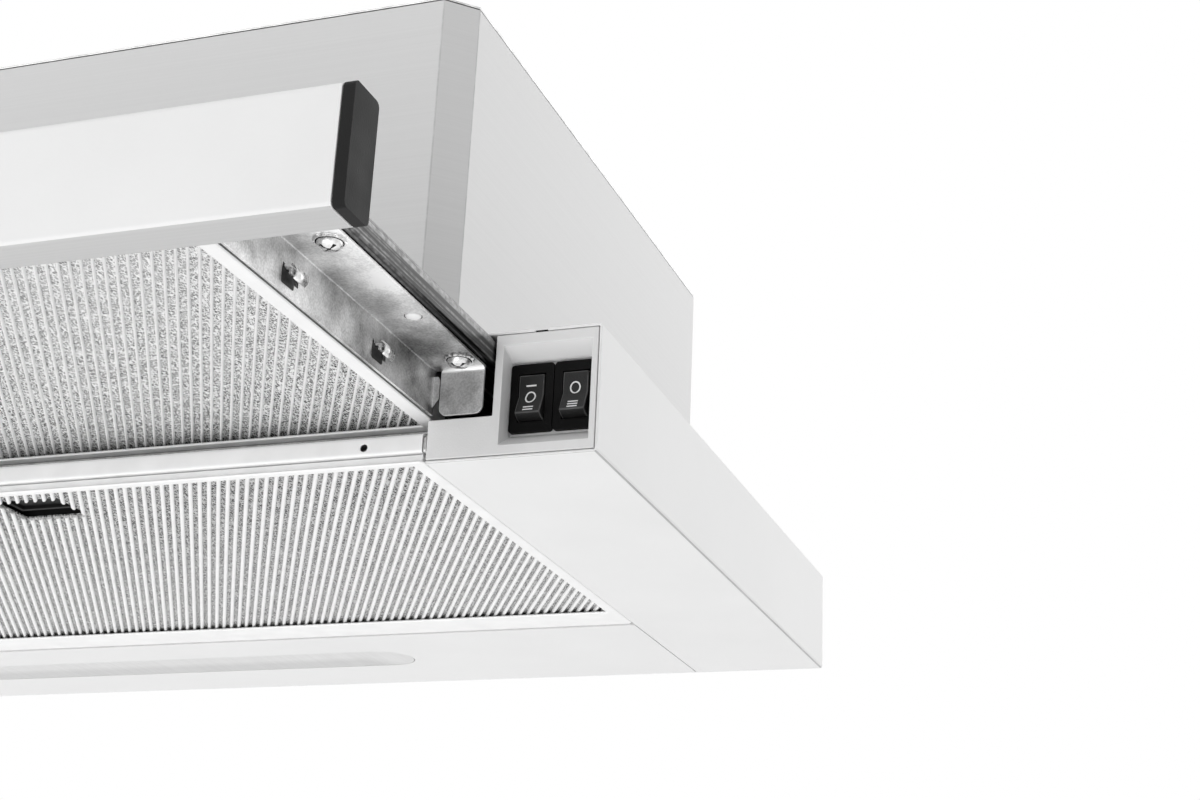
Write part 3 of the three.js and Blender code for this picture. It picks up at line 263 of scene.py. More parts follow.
def new_finish(slot, tones, roughness, metallic=0.0, coat=0.0):
    """A material whose shader holds its plain numbers; returns its tree and its shader."""
    material = bpy.data.materials.new(slot)
    material.use_nodes = True
    shader = material.node_tree.nodes["Principled BSDF"]
    shader.inputs["Base Color"].default_value = grey(tones[0])
    shader.inputs["Roughness"].default_value = roughness[0]
    shader.inputs["Metallic"].default_value = metallic
    shader.inputs["Coat Weight"].default_value = coat
    shader.inputs["Coat Roughness"].default_value = 0.2
    finishes[slot] = material
    return material.node_tree, shader


def patterned(tree, shader, pattern, tones, roughness, edge_tone=None, bumps=()):
    """Drives colour and roughness by a pattern, paints the edge tone on the edges as light and shade, and
    adds bumps of (height, depth).
    """
    colour = blended(tree, pattern, grey(tones[0]), grey(tones[1]))
    if edge_tone is not None:
        # The edges take the edge tone: a painted highlight on most finishes, and a painted shade line on the
        # housing.
        colour = blended(tree, use(tree, edge_light_and_shade, Amount=1.0)[0], colour, grey(edge_tone))
    tree.links.new(colour, shader.inputs["Base Color"])
    tree.links.new(ranged(tree, pattern, 0, 1, *roughness), shader.inputs["Roughness"])
    for height, depth in bumps:
        before = shader.inputs["Normal"].links
        inputs = {"Height": height, "Distance": depth, "Strength": 0.6}
        if before:
            inputs["Normal"] = before[0].from_socket
        tree.links.new(add(tree, "Bump", inputs).outputs[0], shader.inputs["Normal"])


def grained_finish(slot, tones, roughness, per_metre, detail=2.0, edge_tone=None, depth=None, metallic=0.0):
    """A finish with one grain, which is also its bump where a depth in metres is given."""
    tree, shader = new_finish(slot, tones, roughness, metallic)
    pattern = grained(tree, per_metre, detail)
    patterned(tree, shader, pattern, tones, roughness, edge_tone, [(pattern, depth)] if depth else ())


# %% [markdown]
# ### Paint
# The base is stoved white enamel: almost smooth, with an orange peel of about a millimetre that only shows in
# the highlights. The housing has a greyer satin coat with faint level brush lines under it. The fold under
# the base's sides gets a dull grey line, a painted shade; the fascia's underside gets a darker satin-metal
# finish, also a painted shade; and the lamp board behind the lens is plain white.

# %% Paints and brushed sheet
tones, shine = (0.80, 0.84), (0.36, 0.46)
tree, shader = new_finish("white_paint", tones, shine, coat=0.15)
clouds = grained(tree, 22.0, 4.0)
peel = grained(tree, 900.0)
# The edge tone 0.94 paints a highlight along the base's folds.
patterned(tree, shader, clouds, tones, shine, 0.94, [(peel, 0.00002)])

tones, shine = (0.735, 0.76), (0.36, 0.42)
tree, shader = new_finish("body_paint", tones, shine, coat=0.1)
lines = grained(tree, (6.0, 6.0, 1600.0), 4.0)
peel = grained(tree, 1100.0)
# The edge tone 0.6 paints a shade line along the housing's edges.
patterned(tree, shader, lines, tones, shine, 0.6, [(lines, 0.000004), (peel, 0.00001)])

grained_finish("fold_line", (0.42, 0.54), (0.5, 0.6), (300.0, 60.0, 300.0))
grained_finish("fascia_underside", (0.51, 0.55), (0.4, 0.5), (8.0, 1300.0, 40.0), 3.0, 0.66, 0.00001)
grained_finish("lamp_board", (0.80, 0.88), (0.5, 0.6), 90.0, 2.0, 0.9, 0.00002)
print("paints:", sorted(finishes))

# %% [markdown]
# ### Moulded plastics
# Mouldings come out of a spark-eroded tool with a fine even grain. It breaks up the highlight, so plastic
# looks softer than paint of the same colour. The mouldings, switches, trim and blower parts differ in tone,
# shine and grain. Black plastic is seen mostly by what it mirrors, so its specular level sets how grey it
# looks. The down-facing faces of the switch recess get a near-white finish as painted light, and the small
# plugs are nylon.

# %% Plastics
# The third number of each row is its edge tone, painted light along the edges; on the rocker it paints the
# thin light line along the key's lower edge.
plastics = {
    "grey_plastic": ((0.735, 0.785), (0.48, 0.6), 0.82, 1900.0, 0.00003, 0.5),
    "switch_black": ((0.004, 0.008), (0.34, 0.48), 0.012, 2600.0, 0.00003, 0.05),
    "rocker_black": ((0.006, 0.012), (0.36, 0.55), 0.09, 2600.0, 0.00008, 0.3),
    "trim_black": ((0.008, 0.014), (0.45, 0.6), 0.03, 2100.0, 0.00003, 0.12),
    "blower_plastic": ((0.035, 0.055), (0.42, 0.6), 0.09, 1500.0, 0.00003, 0.5),
}
for slot, (tones, shine, edge_tone, per_metre, depth, specular) in plastics.items():
    tree, shader = new_finish(slot, tones, shine)
    shader.inputs["Specular IOR Level"].default_value = specular
    clouds = grained(tree, 60.0, 5.0)
    texture = grained(tree, per_metre)
    patterned(tree, shader, clouds, tones, shine, edge_tone, [(texture, depth)])
grained_finish("recess_polish", (0.94, 0.97), (0.3, 0.4), 60.0, 5.0, 0.9)
grained_finish("mark_white", (0.75, 0.82), (0.4, 0.5), 2500.0)
grained_finish("nylon", (0.92, 0.96), (0.3, 0.4), 500.0)
print("plastics:", sorted(plastics))

# %% [markdown]
# ### Bare metals
# Galvanised sheet has crystals, dull blotches and scratches along Y. The drawer's rails are of it too, and
# three slow ramps of painted light are added to their tone: a painted sheen towards the front and the
# outside, and a painted highlight on the short tab at their rear end.

# %% Galvanised sheet
tones, shine = (0.36, 0.66), (0.32, 0.42)
tree, shader = new_finish("galvanised", tones, shine, metallic=0.92)
crystals = use(tree, zinc, Crystals_per_metre=210.0, Blotches_per_metre=16.0, Crystal_share=0.5,
               Blotch_share=0.2, Speck_share=0.3)
scratches = grained(tree, (900.0, 14.0, 900.0), 3.0)
patterned(tree, shader, crystals[0], tones, shine, 0.9, [(crystals[1], 0.00003), (scratches, 0.00001)])

tones, shine = (0.05, 0.95), (0.3, 0.42)
tree, shader = new_finish("rail_zinc", tones, shine, metallic=0.92)
crystals = use(tree, zinc, Crystals_per_metre=300.0, Blotches_per_metre=48.0)
scratches = grained(tree, (900.0, 14.0, 900.0), 3.0)
place = split(tree, here(tree))
# Painted sheen towards the outer edge and the front, and a painted highlight on the rear tab.
outer = ranged(tree, maths(tree, "ABSOLUTE", place["X"]), 0.2485, 0.2600)
front = ranged(tree, place["Y"], base_front - 0.020, base_front - 0.100)
tab = ranged(tree, place["Y"], base_front - 0.0040, base_front - 0.0024, 0.06, 0.32)
painted_outer_sheen = maths(tree, "MULTIPLY", outer, front)
tone = summed(tree, (crystals[0], 0.75), (painted_outer_sheen, 0.7), (front, 0.15), (tab, 1.0))
patterned(tree, shader, tone, tones, shine, 0.95, [(crystals[1], 0.00002), (scratches, 0.00001)])
print("finishes so far:", len(finishes))

# %% [markdown]
# The slides are cold-rolled and drawn lengthwise, so they have streaks along Y under an uneven film of oil.
# The filters are bright soft aluminium, and most of their look is diffuse. The motor's can is turned, the
# screws are bright zinc, and the slots and recesses are painted nearly black as the shade in them.

# %% Steel and aluminium
tones, shine = (0.01, 0.3), (0.28, 0.46)
tree, shader = new_finish("slide_steel", tones, shine, metallic=0.95)
drawn = grained(tree, (620.0, 5.0, 620.0), 4.0)
oil = ranged(tree, grained(tree, (700.0, 420.0, 700.0), 4.0), 0.2, 0.9, 0.35, 1.0)
film = maths(tree, "MULTIPLY", ranged(tree, drawn, 0.35, 0.75), oil)
patterned(tree, shader, film, tones, shine, 0.55, [(drawn, 0.00003)])

grained_finish("filter_aluminium", (0.90, 0.96), (0.34, 0.46), 120.0, 5.0, 0.92, 0.00003, metallic=0.2)
grained_finish("motor_steel", (0.40, 0.58), (0.34, 0.5), (1300.0, 60.0, 60.0), 4.0, 0.7, 0.00002,
               metallic=0.9)
grained_finish("filter_frame", (0.88, 0.95), (0.34, 0.44), 90.0, 5.0, 0.96, 0.00002, metallic=0.15)
grained_finish("screw_zinc", (0.55, 0.85), (0.2, 0.36), 700.0, 3.0, 0.9, 0.00001, metallic=1.0)
grained_finish("dark_recess", (0.01, 0.05), (0.4, 0.6), 1500.0, metallic=0.6)
print("metals done, finishes so far:", len(finishes))

# %% [markdown]
# ### The knitted layer of a filter
# Between the ribs of a grease filter lies fine expanded metal: bright strands round small openings, which are
# painted dark as the shade of the layers behind them. At this scale modelling each strand would take millions
# of faces, so Voronoi cells draw them. The distance to a cell's edge is small on a strand and large in an
# opening. Noise makes some openings darker than others, and all of them get a painted shade close to the
# cross bar, where grease also gathers.

# %% Knitted aluminium
def knitted(name, cells_per_metre, strand_tone, darkest, lightest):
    """Bright strands round openings, whose tones lie between the darkest and the lightest."""
    half_strand, softness, strand_slant = 0.1, (0.06, 0.04), math.radians(-30)
    tree, shader = new_finish(name, (strand_tone, strand_tone), (0.45, 0.5), metallic=0.4)
    spot = here(tree)
    turned_spot = add(tree, "Mapping", {"Vector": spot, "Rotation": (0, 0, strand_slant),
                                        "Scale": (*cells_per_metre, 300)}).outputs[0]
    from_edge = add(tree, "TexVoronoi", {"Vector": turned_spot, "Scale": 1.0, "Randomness": 0.8},
                    feature="DISTANCE_TO_EDGE").outputs["Distance"]
    strand = ranged(tree, from_edge, half_strand + softness[0], half_strand - softness[1])
    uneven = ranged(tree, noise(tree, spot, 420.0, 3.0), 0.35, 0.65)
    # Close to the cross bar the openings get a painted shade.
    from_bar = maths(tree, "ABSOLUTE", maths(tree, "SUBTRACT", split(tree, spot)["Y"], base_front))
    random_and_bar_shade = maths(tree, "ADD", uneven, ranged(tree, from_bar, 0.02, 0.13, -0.3, 0.6))
    # The openings' dark tones paint the shade of the layers behind them.
    opening = blended(tree, ranged(tree, random_and_bar_shade, 0, 1), grey(darkest), grey(lightest))
    tree.links.new(blended(tree, strand, opening, grey(strand_tone)), shader.inputs["Base Color"])
    tree.links.new(ranged(tree, strand, 0, 1, 0.7, 0.42), shader.inputs["Roughness"])
    raised = add(tree, "Bump", {"Height": strand, "Distance": 0.3 * mm, "Strength": 0.7}).outputs[0]
    tree.links.new(raised, shader.inputs["Normal"])


knitted("knitted_bottom", (1250, 520), 0.6, 0.0, 0.2)
knitted("knitted_drawer", (1500, 640), 0.88, 0.0, 0.38)
print("strand patterns ready")

# %% [markdown]
# ### The frosted lamp lens
# The lens is translucent: a milky plastic with fine prisms moulded across it. A little light passes through
# it, and a slanted pattern paints a shade band across it, the shadow of the lamp housing behind the lens; it
# stays lighter at its outer end and along its far border.

# %% Frosted lens
shine = (0.42, 0.55)
tree, shader = new_finish("frosted_lens", (0.78, 0.86), shine)
shader.inputs["Transmission Weight"].default_value = 0.15
prisms = grained(tree, (520.0, 8.0, 8.0), 1.0)
place = split(tree, here(tree))
# Outside the lit end and border the lens takes the darker tone, a painted shadow of the lamp housing.
slanted = summed(tree, (maths(tree, "ABSOLUTE", place["X"]), 1.0), (place["Y"], -0.9))
lit_end = ranged(tree, slanted, -0.052, -0.040)
lit_border = ranged(tree, place["Y"], base_front + 0.238, base_front + 0.231)
tone = summed(tree, (maths(tree, "MAXIMUM", lit_end, lit_border), 0.75), (prisms, 0.25))
patterned(tree, shader, tone, (0.66, 0.86), shine, 0.85, [(prisms, 0.0001)])
print("finishes:", len(finishes))

# %% [markdown]
# ## Turning a solid into a softer piece
# Real sheet and mouldings have no razor edges. A copy of a solid is merged into one skin, its flat areas are
# joined into single faces, and then the sharp edges are bevelled. The bevel's own faces get the "edge"
# attribute, which carries the painted light and shade along the edges. Weighted normals keep the flat areas
# flat while the bevels shade round. A fold of bent sheet is rounder than a cut edge, so a piece may name
# folds that get a wider bevel first.

# %% Finish a mesh as a piece
edge_steps, fold_steps = 2, 4
merge_distance, flat_angle = 0.000002, math.radians(0.8)


def finished(work, name, slot, body, stands_for=(), crease=50, finish=None):
    """Turns a bmesh into a shown piece on a body. Its finish is that of its slot, unless it names another."""
    for face in work.faces:
        face.smooth = True
    for line in work.edges:
        line.smooth = not line.is_manifold or line.calc_face_angle(0) < math.radians(crease)
    mesh = bpy.data.meshes.new(name)
    work.to_mesh(mesh)
    work.free()
    mesh.materials.append(finishes[finish or slot])
    piece = bpy.data.objects.new(name, mesh)
    scene.collection.objects.link(piece)
    weighted = piece.modifiers.new("flat_stays_flat", "WEIGHTED_NORMAL")
    weighted.keep_sharp = True
    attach(piece, body)
    if stands_for:
        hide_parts(*stands_for)
    return piece


def rounded(work, lines, width, segments):
    """Rounds some edges by a width in millimetres and returns the new faces."""
    return bmesh.ops.bevel(work, geom=lines, offset=width * mm, offset_type="OFFSET", segments=segments,
                           profile=0.5, affect="EDGES", clamp_overlap=True, material=-1)["faces"]


def lies_in(point, low, high):
    return all(low[axis] <= point[axis] <= high[axis] for axis in range(3))


def softened(node, width, angle, folds):
    """A copy of a solid whose edges sharper than the angle are rounded by the width, in millimetres. Each
    fold gives the lowest and highest corner of a box round some edges, and their own larger width."""
    work = bmesh.new()
    work.from_mesh(frame["nodes"][node].data)
    mark = work.faces.layers.float.new("edge")
    bmesh.ops.remove_doubles(work, verts=work.verts, dist=merge_distance)
    bmesh.ops.dissolve_limit(work, angle_limit=flat_angle, verts=work.verts, edges=work.edges)
    sharp = [line for line in work.edges if line.is_manifold and line.calc_face_angle() > math.radians(angle)]
    for low, high, fold_width in folds:
        fold = [line for line in sharp
                if line.is_valid and all(lies_in(end.co, low, high) for end in line.verts)]
        for face in rounded(work, fold, fold_width, fold_steps):
            face[mark] = 1.0
    for face in rounded(work, [line for line in sharp if line.is_valid], width, edge_steps):
        face[mark] = 1.0
    print(node, "->", len(work.faces), "faces")
    return work


def soft_piece(node, width, angle=50, folds=(), finish=None):
    """The softened copy of a solid, shown in its place."""
    work = softened(node, width, angle, folds)
    return finished(work, node + "_soft", slot_of[node], body_of[node], [node], finish=finish)


def second_finish(piece, finish, low, high, test=lambda face: True):
    """Gives the faces whose middle lies in a box another finish, if they pass the test."""
    piece.data.materials.append(finishes[finish])
    number = len(piece.data.materials) - 1
    for face in piece.data.polygons:
        if lies_in(face.center, low, high) and test(face):
            face.material_index = number


# %% [markdown]
# ## Painted and moulded pieces
# The base and the housing are folded from thin sheet, so their edges are rounded only by a fraction of a
# millimetre. The fold between the base's underside and its sides gets a painted shade line: the faces of its
# bevel that look mostly down get a dark finish of their own. The cross bar is bare aluminium, like the frames
# behind it.

# %% Painted sheet
base = soft_piece("base_shell", 0.25, 40)
soft_piece("upper_shell", 0.3, 40)
soft_piece("rear_underside_panel", 0.2, 40)
soft_piece("front_cross_bar", 0.2, 40, finish="filter_frame")
# Painted shade line on the down-facing bevel faces of the base's lower fold.
second_finish(base, "fold_line", at(-300, -1, -0.1), at(300, 260, 0.6),
              lambda face: -0.97 < face.normal.z < -0.7)

# %% [markdown]
# The mouldings and the end caps are thicker and get a rounder edge. Inside the tower's recess, the faces that
# look down get a near-white finish, painted light for the light they catch from below.

# %% Mouldings, switches and trim
keys = ("fan", "lamp")
moulded = [("front_corner", 0.35, sides, None), ("fascia_end_cap", 0.4, sides, None),
           ("switch_housing", 0.25, keys, None), ("rocker", 0.35, keys, "rocker_black")]
for name, width, ends, finish in moulded:
    for end in ends:
        soft_piece(f"{name}_{end}", width, finish=finish)
# Painted light on the down-facing faces of the switch recess.
for side, sign in sides.items():
    second_finish(bpy.data.objects[f"front_corner_{side}_soft"], "recess_polish",
                  *sided_box(sign, (267, 0.4, 4.5), (296.5, 9, 36)), lambda face: face.normal.z < -0.3)

# %% [markdown]
# ## Bare sheet
# The slide channels, the clips, the lid and the other pressings are thin sheet too. Their cut edges are
# broken, and the rounded folds between the flat areas shade smoothly, which draws the bright line along each
# bend.

# %% Slides and clips
sheet_angle = 60
for side in sides:
    for node in ("slide_drawer_channel", "slide_middle_channel", "slide_fixed_channel"):
        soft_piece(f"{node}_{side}", 0.2, sheet_angle)
    soft_piece(f"bar_clip_{side}", 0.15, sheet_angle)

# %% [markdown]
# ## The drawer's rails
# The folds along a rail's top are wide, so each gets a wider bevel. Two hooks are lanced out of its wall: a
# punch cuts a tongue on three sides and curls it outwards, which leaves a slot. The sheet round it and the
# tongue get the brighter screw zinc, a painted highlight. The slot is a dark block that just pierces the
# wall, a painted shade for the dark inside it, and the tongue is a line spun part of the way round, given its
# thickness by a modifier.

# %% Rails with their lances
lance_middles = (-92, -39)
curl_centre_x, curl_centre_z, curl_reach, curl_drop = 247.6, 20.3, 1.3, 1.8
tongue_start, tongue_width, tongue_sheet = -2.4, 6.2, 0.5


def block(low, high):
    """A bmesh with a box between two corners."""
    work = bmesh.new()
    size = high - low
    placed = Matrix.Translation((low + high) / 2) @ Matrix.Diagonal((*size, 1))
    bmesh.ops.create_cube(work, size=1, matrix=placed)
    return work


def lance_slot_shade(name, sign, middle):
    """The opening that a lance leaves: a thin block, painted dark as the shade in it, rounded at its four
    corners.
    """
    work = block(*sided_box(sign, (246.6, middle - 4.6, 16.8), (246.86, middle + 2.2, 21.4)))
    corners = [line for line in work.edges if abs((line.verts[0].co - line.verts[1].co).x) > 0.1 * mm]
    rounded(work, corners, 0.7, 3)
    finished(work, name, "galvanised", "drawer", finish="dark_recess")


def lance_tongue(name, sign, middle):
    """The curled tongue: a line along Y, spun about the curl's centre."""
    work = bmesh.new()
    start = at(sign * (curl_centre_x + curl_reach), middle + tongue_start, curl_centre_z - curl_drop)
    ends = [work.verts.new(start), work.verts.new(start + Vector((0, tongue_width * mm, 0)))]
    line = work.edges.new(ends)
    bmesh.ops.spin(work, geom=ends + [line], cent=at(sign * curl_centre_x, middle, curl_centre_z),
                   axis=(0, -sign, 0), angle=math.radians(130), steps=10)
    bmesh.ops.recalc_face_normals(work, faces=work.faces)
    # The tongue's bright zinc is a painted highlight.
    tongue = finished(work, name, "galvanised", "drawer", finish="screw_zinc")
    thick = tongue.modifiers.new("sheet", "SOLIDIFY")
    thick.thickness = tongue_sheet * mm
    thick.offset = 0


for side, sign in sides.items():
    tab_fold = (*sided_box(sign, (247, -2.6, 28.2), (263.2, -1.2, 28.8)), 1.1)
    wall_fold = (*sided_box(sign, (246.5, -151, 28.2), (247.1, 0, 28.8)), 0.5)
    rail = soft_piece(f"drawer_side_rail_{side}", 0.25, sheet_angle, [tab_fold, wall_fold], "rail_zinc")
    for middle in lance_middles:
        # The box round each lance, whose sheet gets the brighter zinc as a painted highlight.
        lance_highlight_box = sided_box(sign, (246.9, middle - 4.6, 17), (250, middle + 4.6, 23.6))
        second_finish(rail, "screw_zinc", *lance_highlight_box)
        lance_slot_shade(f"lance_slot_{side}_{-middle}", sign, middle)
        lance_tongue(f"lance_tongue_{side}_{-middle}", sign, middle)

# %% Other pressings
for node, width in {"top_lid": 0.25, "drawer_cross_member": 0.2, "drawer_visor_plate": 0.25,
                    "drawer_rear_bar": 0.2, "motor_spider": 0.3}.items():
    soft_piece(node, width, sheet_angle)

# %% [markdown]
# ## The fascia
# The fascia is one folded strip, painted white on its face. Faces that look straight down get a second,
# darker material, a satin-metal finish that paints the shade under the fascia; a second material is the usual
# way to give one mesh two finishes.

# %% Fascia with two finishes
fascia = soft_piece("fascia_profile", 0.3, sheet_angle)
# The darker underside finish is a painted shade.
second_finish(fascia, "fascia_underside", at(-300, -200, -10), at(300, 10, 1),
              lambda face: face.normal.z < -0.8)
print("fascia faces:", len(fascia.data.polygons))

# %% [markdown]
# ## The filters
# Each filter is a ribbed aluminium sheet in a frame. On the real one smooth round ribs slant at 30 degrees
# across the opening, 2.95 mm apart, over the knitted layer. One rib is an eight-sided rod. It is copied side
# by side, the whole field is turned, and four planes trim it to the frame. The small windows over the thumb
# latches are cut with the same kind of plane and then emptied. The knitted layer is a flat sheet above the
# ribs with the same windows, and its border is pressed down on the frame.

# %% Measures of a filter
rib_pitch, rib_height, rib_angle = 2.95 * mm, 0.8 * mm, math.radians(30)
rib_half_width = {"bottom_filter_pack": 0.74 * mm, "drawer_filter_pack": 0.46 * mm}
rib_spare, first_rib_shift = 4 * mm, 0.8
layer_depth, border_width, border_depth = 1.1 * mm, 5 * mm, 0.1 * mm
pack_inset, latch_set_back, latch_x = 1.9 * mm, 12 * mm, 95 * mm
window_half, window_front, window_rear = 12 * mm, 2 * mm, 20 * mm
cut_distance = 1e-7
print("rib pitch:", rib_pitch, "angle:", round(rib_angle, 4))

# %% Cutting helpers
def everything(work):
    return work.verts[:] + work.edges[:] + work.faces[:]


def only(kind, parts):
    """The parts of one kind, such as the corners, out of an operator's result."""
    return [part for part in parts if isinstance(part, kind)]


def closed_up(work):
    """Closes the open ends that a cut has left."""
    bmesh.ops.holes_fill(work, edges=[line for line in work.edges if line.is_boundary], sides=0)


def trimmed(work, low, high):
    """Cuts away what lies outside a box in X and Y, and closes the cut ends."""
    for point, outward in ((low, (-1, 0, 0)), (low, (0, -1, 0)), (high, (1, 0, 0)), (high, (0, 1, 0))):
        bmesh.ops.bisect_plane(work, geom=everything(work), dist=cut_distance, plane_co=point,
                               plane_no=outward, clear_outer=True)
    closed_up(work)


def four_cuts(x0, x1, y0, y1):
    """The planes along the sides of a rectangle, each as a point and a direction."""
    return [((x, 0, 0), (1, 0, 0)) for x in (x0, x1)] + [((0, y, 0), (0, 1, 0)) for y in (y0, y1)]


def windowed(work, windows):
    """Empties rectangular windows, each given as its lowest and highest X and Y."""
    for x0, x1, y0, y1 in windows:
        for point, across_it in four_cuts(x0, x1, y0, y1):
            near = [face for face in work.faces if min(corner.co.x for corner in face.verts) < x1
                    and max(corner.co.x for corner in face.verts) > x0]
            lines = {line for face in near for line in face.edges}
            corners = {corner for face in near for corner in face.verts}
            bmesh.ops.bisect_plane(work, geom=[*corners, *lines, *near], dist=cut_distance,
                                   plane_co=point, plane_no=across_it)
        middles = {face: face.calc_center_median() for face in work.faces}
        inside = [face for face, middle in middles.items() if x0 < middle.x < x1 and y0 < middle.y < y1]
        bmesh.ops.delete(work, geom=inside, context="FACES")


def latch_windows(node):
    """The two places where a filter's thumb latches are reached."""
    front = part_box(node)[0].y - pack_inset + latch_set_back
    return [(x - window_half, x + window_half, front + window_front, front + window_rear)
            for x in (-latch_x, latch_x)]


# %% Ribs
def rib_field(node):
    """The slanting rods of a filter, trimmed to its pack."""
    low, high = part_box(node)
    middle, size = (low + high) / 2, high - low
    length = size.x * math.sin(rib_angle) + size.y * math.cos(rib_angle) + rib_spare
    count = math.ceil((size.x * math.cos(rib_angle) + size.y * math.sin(rib_angle)) / rib_pitch) + 1
    work = bmesh.new()
    lying = Matrix.Rotation(math.radians(90), 4, "X")
    shape = Matrix.Diagonal((rib_half_width[node], rib_height, length, 1))
    first = (-count / 2 + first_rib_shift) * rib_pitch
    placed = Matrix.Translation((first, 0, low.z + rib_height)) @ lying @ shape
    bmesh.ops.create_cone(work, cap_ends=True, segments=8, radius1=1, radius2=1, depth=1, matrix=placed)
    rod = everything(work)
    for number in range(1, count):
        copy = bmesh.ops.duplicate(work, geom=rod)["geom"]
        bmesh.ops.translate(work, verts=only(bmesh.types.BMVert, copy), vec=(number * rib_pitch, 0, 0))
    bmesh.ops.rotate(work, verts=work.verts, cent=(0, 0, 0), matrix=Matrix.Rotation(rib_angle, 3, "Z"))
    bmesh.ops.translate(work, verts=work.verts, vec=(middle.x, middle.y, 0))
    trimmed(work, low, high)
    windowed(work, latch_windows(node))
    closed_up(work)
    print(node, "ribs:", count, "faces:", len(work.faces))
    return work


# %% Knitted layer
def knitted_layer(node):
    """The flat layer above the ribs, with the same windows; its border is pressed down on the frame."""
    low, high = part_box(node)
    middle, size = (low + high) / 2, high - low
    work = bmesh.new()
    placed = Matrix.Translation((middle.x, middle.y, low.z + layer_depth)) @ \
        Matrix.Diagonal((size.x, size.y, 1, 1))
    bmesh.ops.create_grid(work, x_segments=1, y_segments=1, size=0.5, matrix=placed)
    for point, across_it in four_cuts(low.x + border_width, high.x - border_width,
                                      low.y + border_width, high.y - border_width):
        bmesh.ops.bisect_plane(work, geom=everything(work), dist=cut_distance, plane_co=point,
                               plane_no=across_it)
    windowed(work, latch_windows(node))
    for corner in work.verts:
        if not (low.x + mm < corner.co.x < high.x - mm and low.y + mm < corner.co.y < high.y - mm):
            corner.co.z = low.z + border_depth
    lifted = bmesh.ops.extrude_face_region(work, geom=work.faces[:], use_keep_orig=True)["geom"]
    bmesh.ops.translate(work, verts=only(bmesh.types.BMVert, lifted),
                        vec=(0, 0, high.z - low.z - layer_depth))
    bmesh.ops.recalc_face_normals(work, faces=work.faces)
    return work


for place_name in ("bottom", "drawer"):
    pack = place_name + "_filter_pack"
    finished(rib_field(pack), f"{place_name}_filter_ribs", "filter_aluminium", body_of[pack], [pack], 60)
    finished(knitted_layer(pack), f"{place_name}_filter_knitted_layer", "filter_aluminium", body_of[pack],
             finish="knitted_" + place_name)
    soft_piece(place_name + "_filter_frame", 0.2, sheet_angle, finish="filter_frame")

# %% [markdown]
# ## Turned shapes
# Screw heads, rivets, plugs and the duct collar are all turned, so one function spins a profile round an
# axis. Where the profile is open, its two ends are closed. A closed section makes a ring, which has no ends.

# %% Spinning a profile
def spun(profile, steps, ring=False):
    """Spins a profile of (radius, height), in millimetres, all the way round the Z axis."""
    work = bmesh.new()
    corners = [work.verts.new((radius * mm, 0, height * mm)) for radius, height in profile]
    followers = corners[1:] + corners[:1] if ring else corners[1:]
    lines = [work.edges.new(pair) for pair in zip(corners, followers)]
    bmesh.ops.spin(work, geom=corners + lines, cent=(0, 0, 0), axis=(0, 0, 1), angle=math.tau, steps=steps,
                   use_merge=True)
    if not ring:
        bmesh.ops.remove_doubles(work, verts=work.verts, dist=1e-6)
        closed_up(work)
    return work


def aimed(centre, direction):
    """The matrix that takes the Z axis to a direction and the origin to a point."""
    turn = Vector(up).rotation_difference(Vector(direction)).to_matrix().to_4x4()
    return Matrix.Translation(centre) @ turn


def button(name, profile, steps, centre, direction, slot, body, finish):
    """A small turned piece, such as a rivet or a plug."""
    work = spun(profile, steps)
    bmesh.ops.transform(work, verts=work.verts, matrix=aimed(centre, direction))
    bmesh.ops.recalc_face_normals(work, faces=work.faces)
    finished(work, name, slot, body, finish=finish)


# %% [markdown]
# ## Screws
# Pan-head screws with toothed washers hold the slides to the drawer's rails. The head is a profile spun round
# its axis. A few faces of its crown are then pushed in to make the cross recess, and every other rim corner
# of the washer is drawn in to make its teeth. The gap between head and washer and the cross recess are
# painted dark as shade. The same screw without teeth, and smaller, holds the lid and the collar.

# %% Screw
screw_steps = 32
screw_profile = [(5.0, 0), (5.2, 0.3), (5.0, 0.8), (4.3, 0.8), (4.1, 0.4), (3.9, 0.9), (3.7, 1.7), (3.1, 2.4),
                 (2.0, 2.8), (0.7, 2.9), (0, 2.9)]
crown_height, recess_middle, recess_reach, recess_depth = 2.3 * mm, 0.7 * mm, 2.7 * mm, 1.2 * mm
recess_arm = 22
gap_inside, gap_outside, gap_height = 3.9 * mm, 4.3 * mm, 0.9 * mm
tooth_radius, tooth_scale = 4.9 * mm, 0.88


def in_recess(middle):
    """Does a face of the crown belong to the cross? Its arms span an angle from each quarter turn."""
    reach = middle.to_2d().length
    turn = math.degrees(math.atan2(middle.y, middle.x)) % 90
    in_cross = reach < recess_middle or (reach < recess_reach and turn < recess_arm)
    return middle.z > crown_height and in_cross


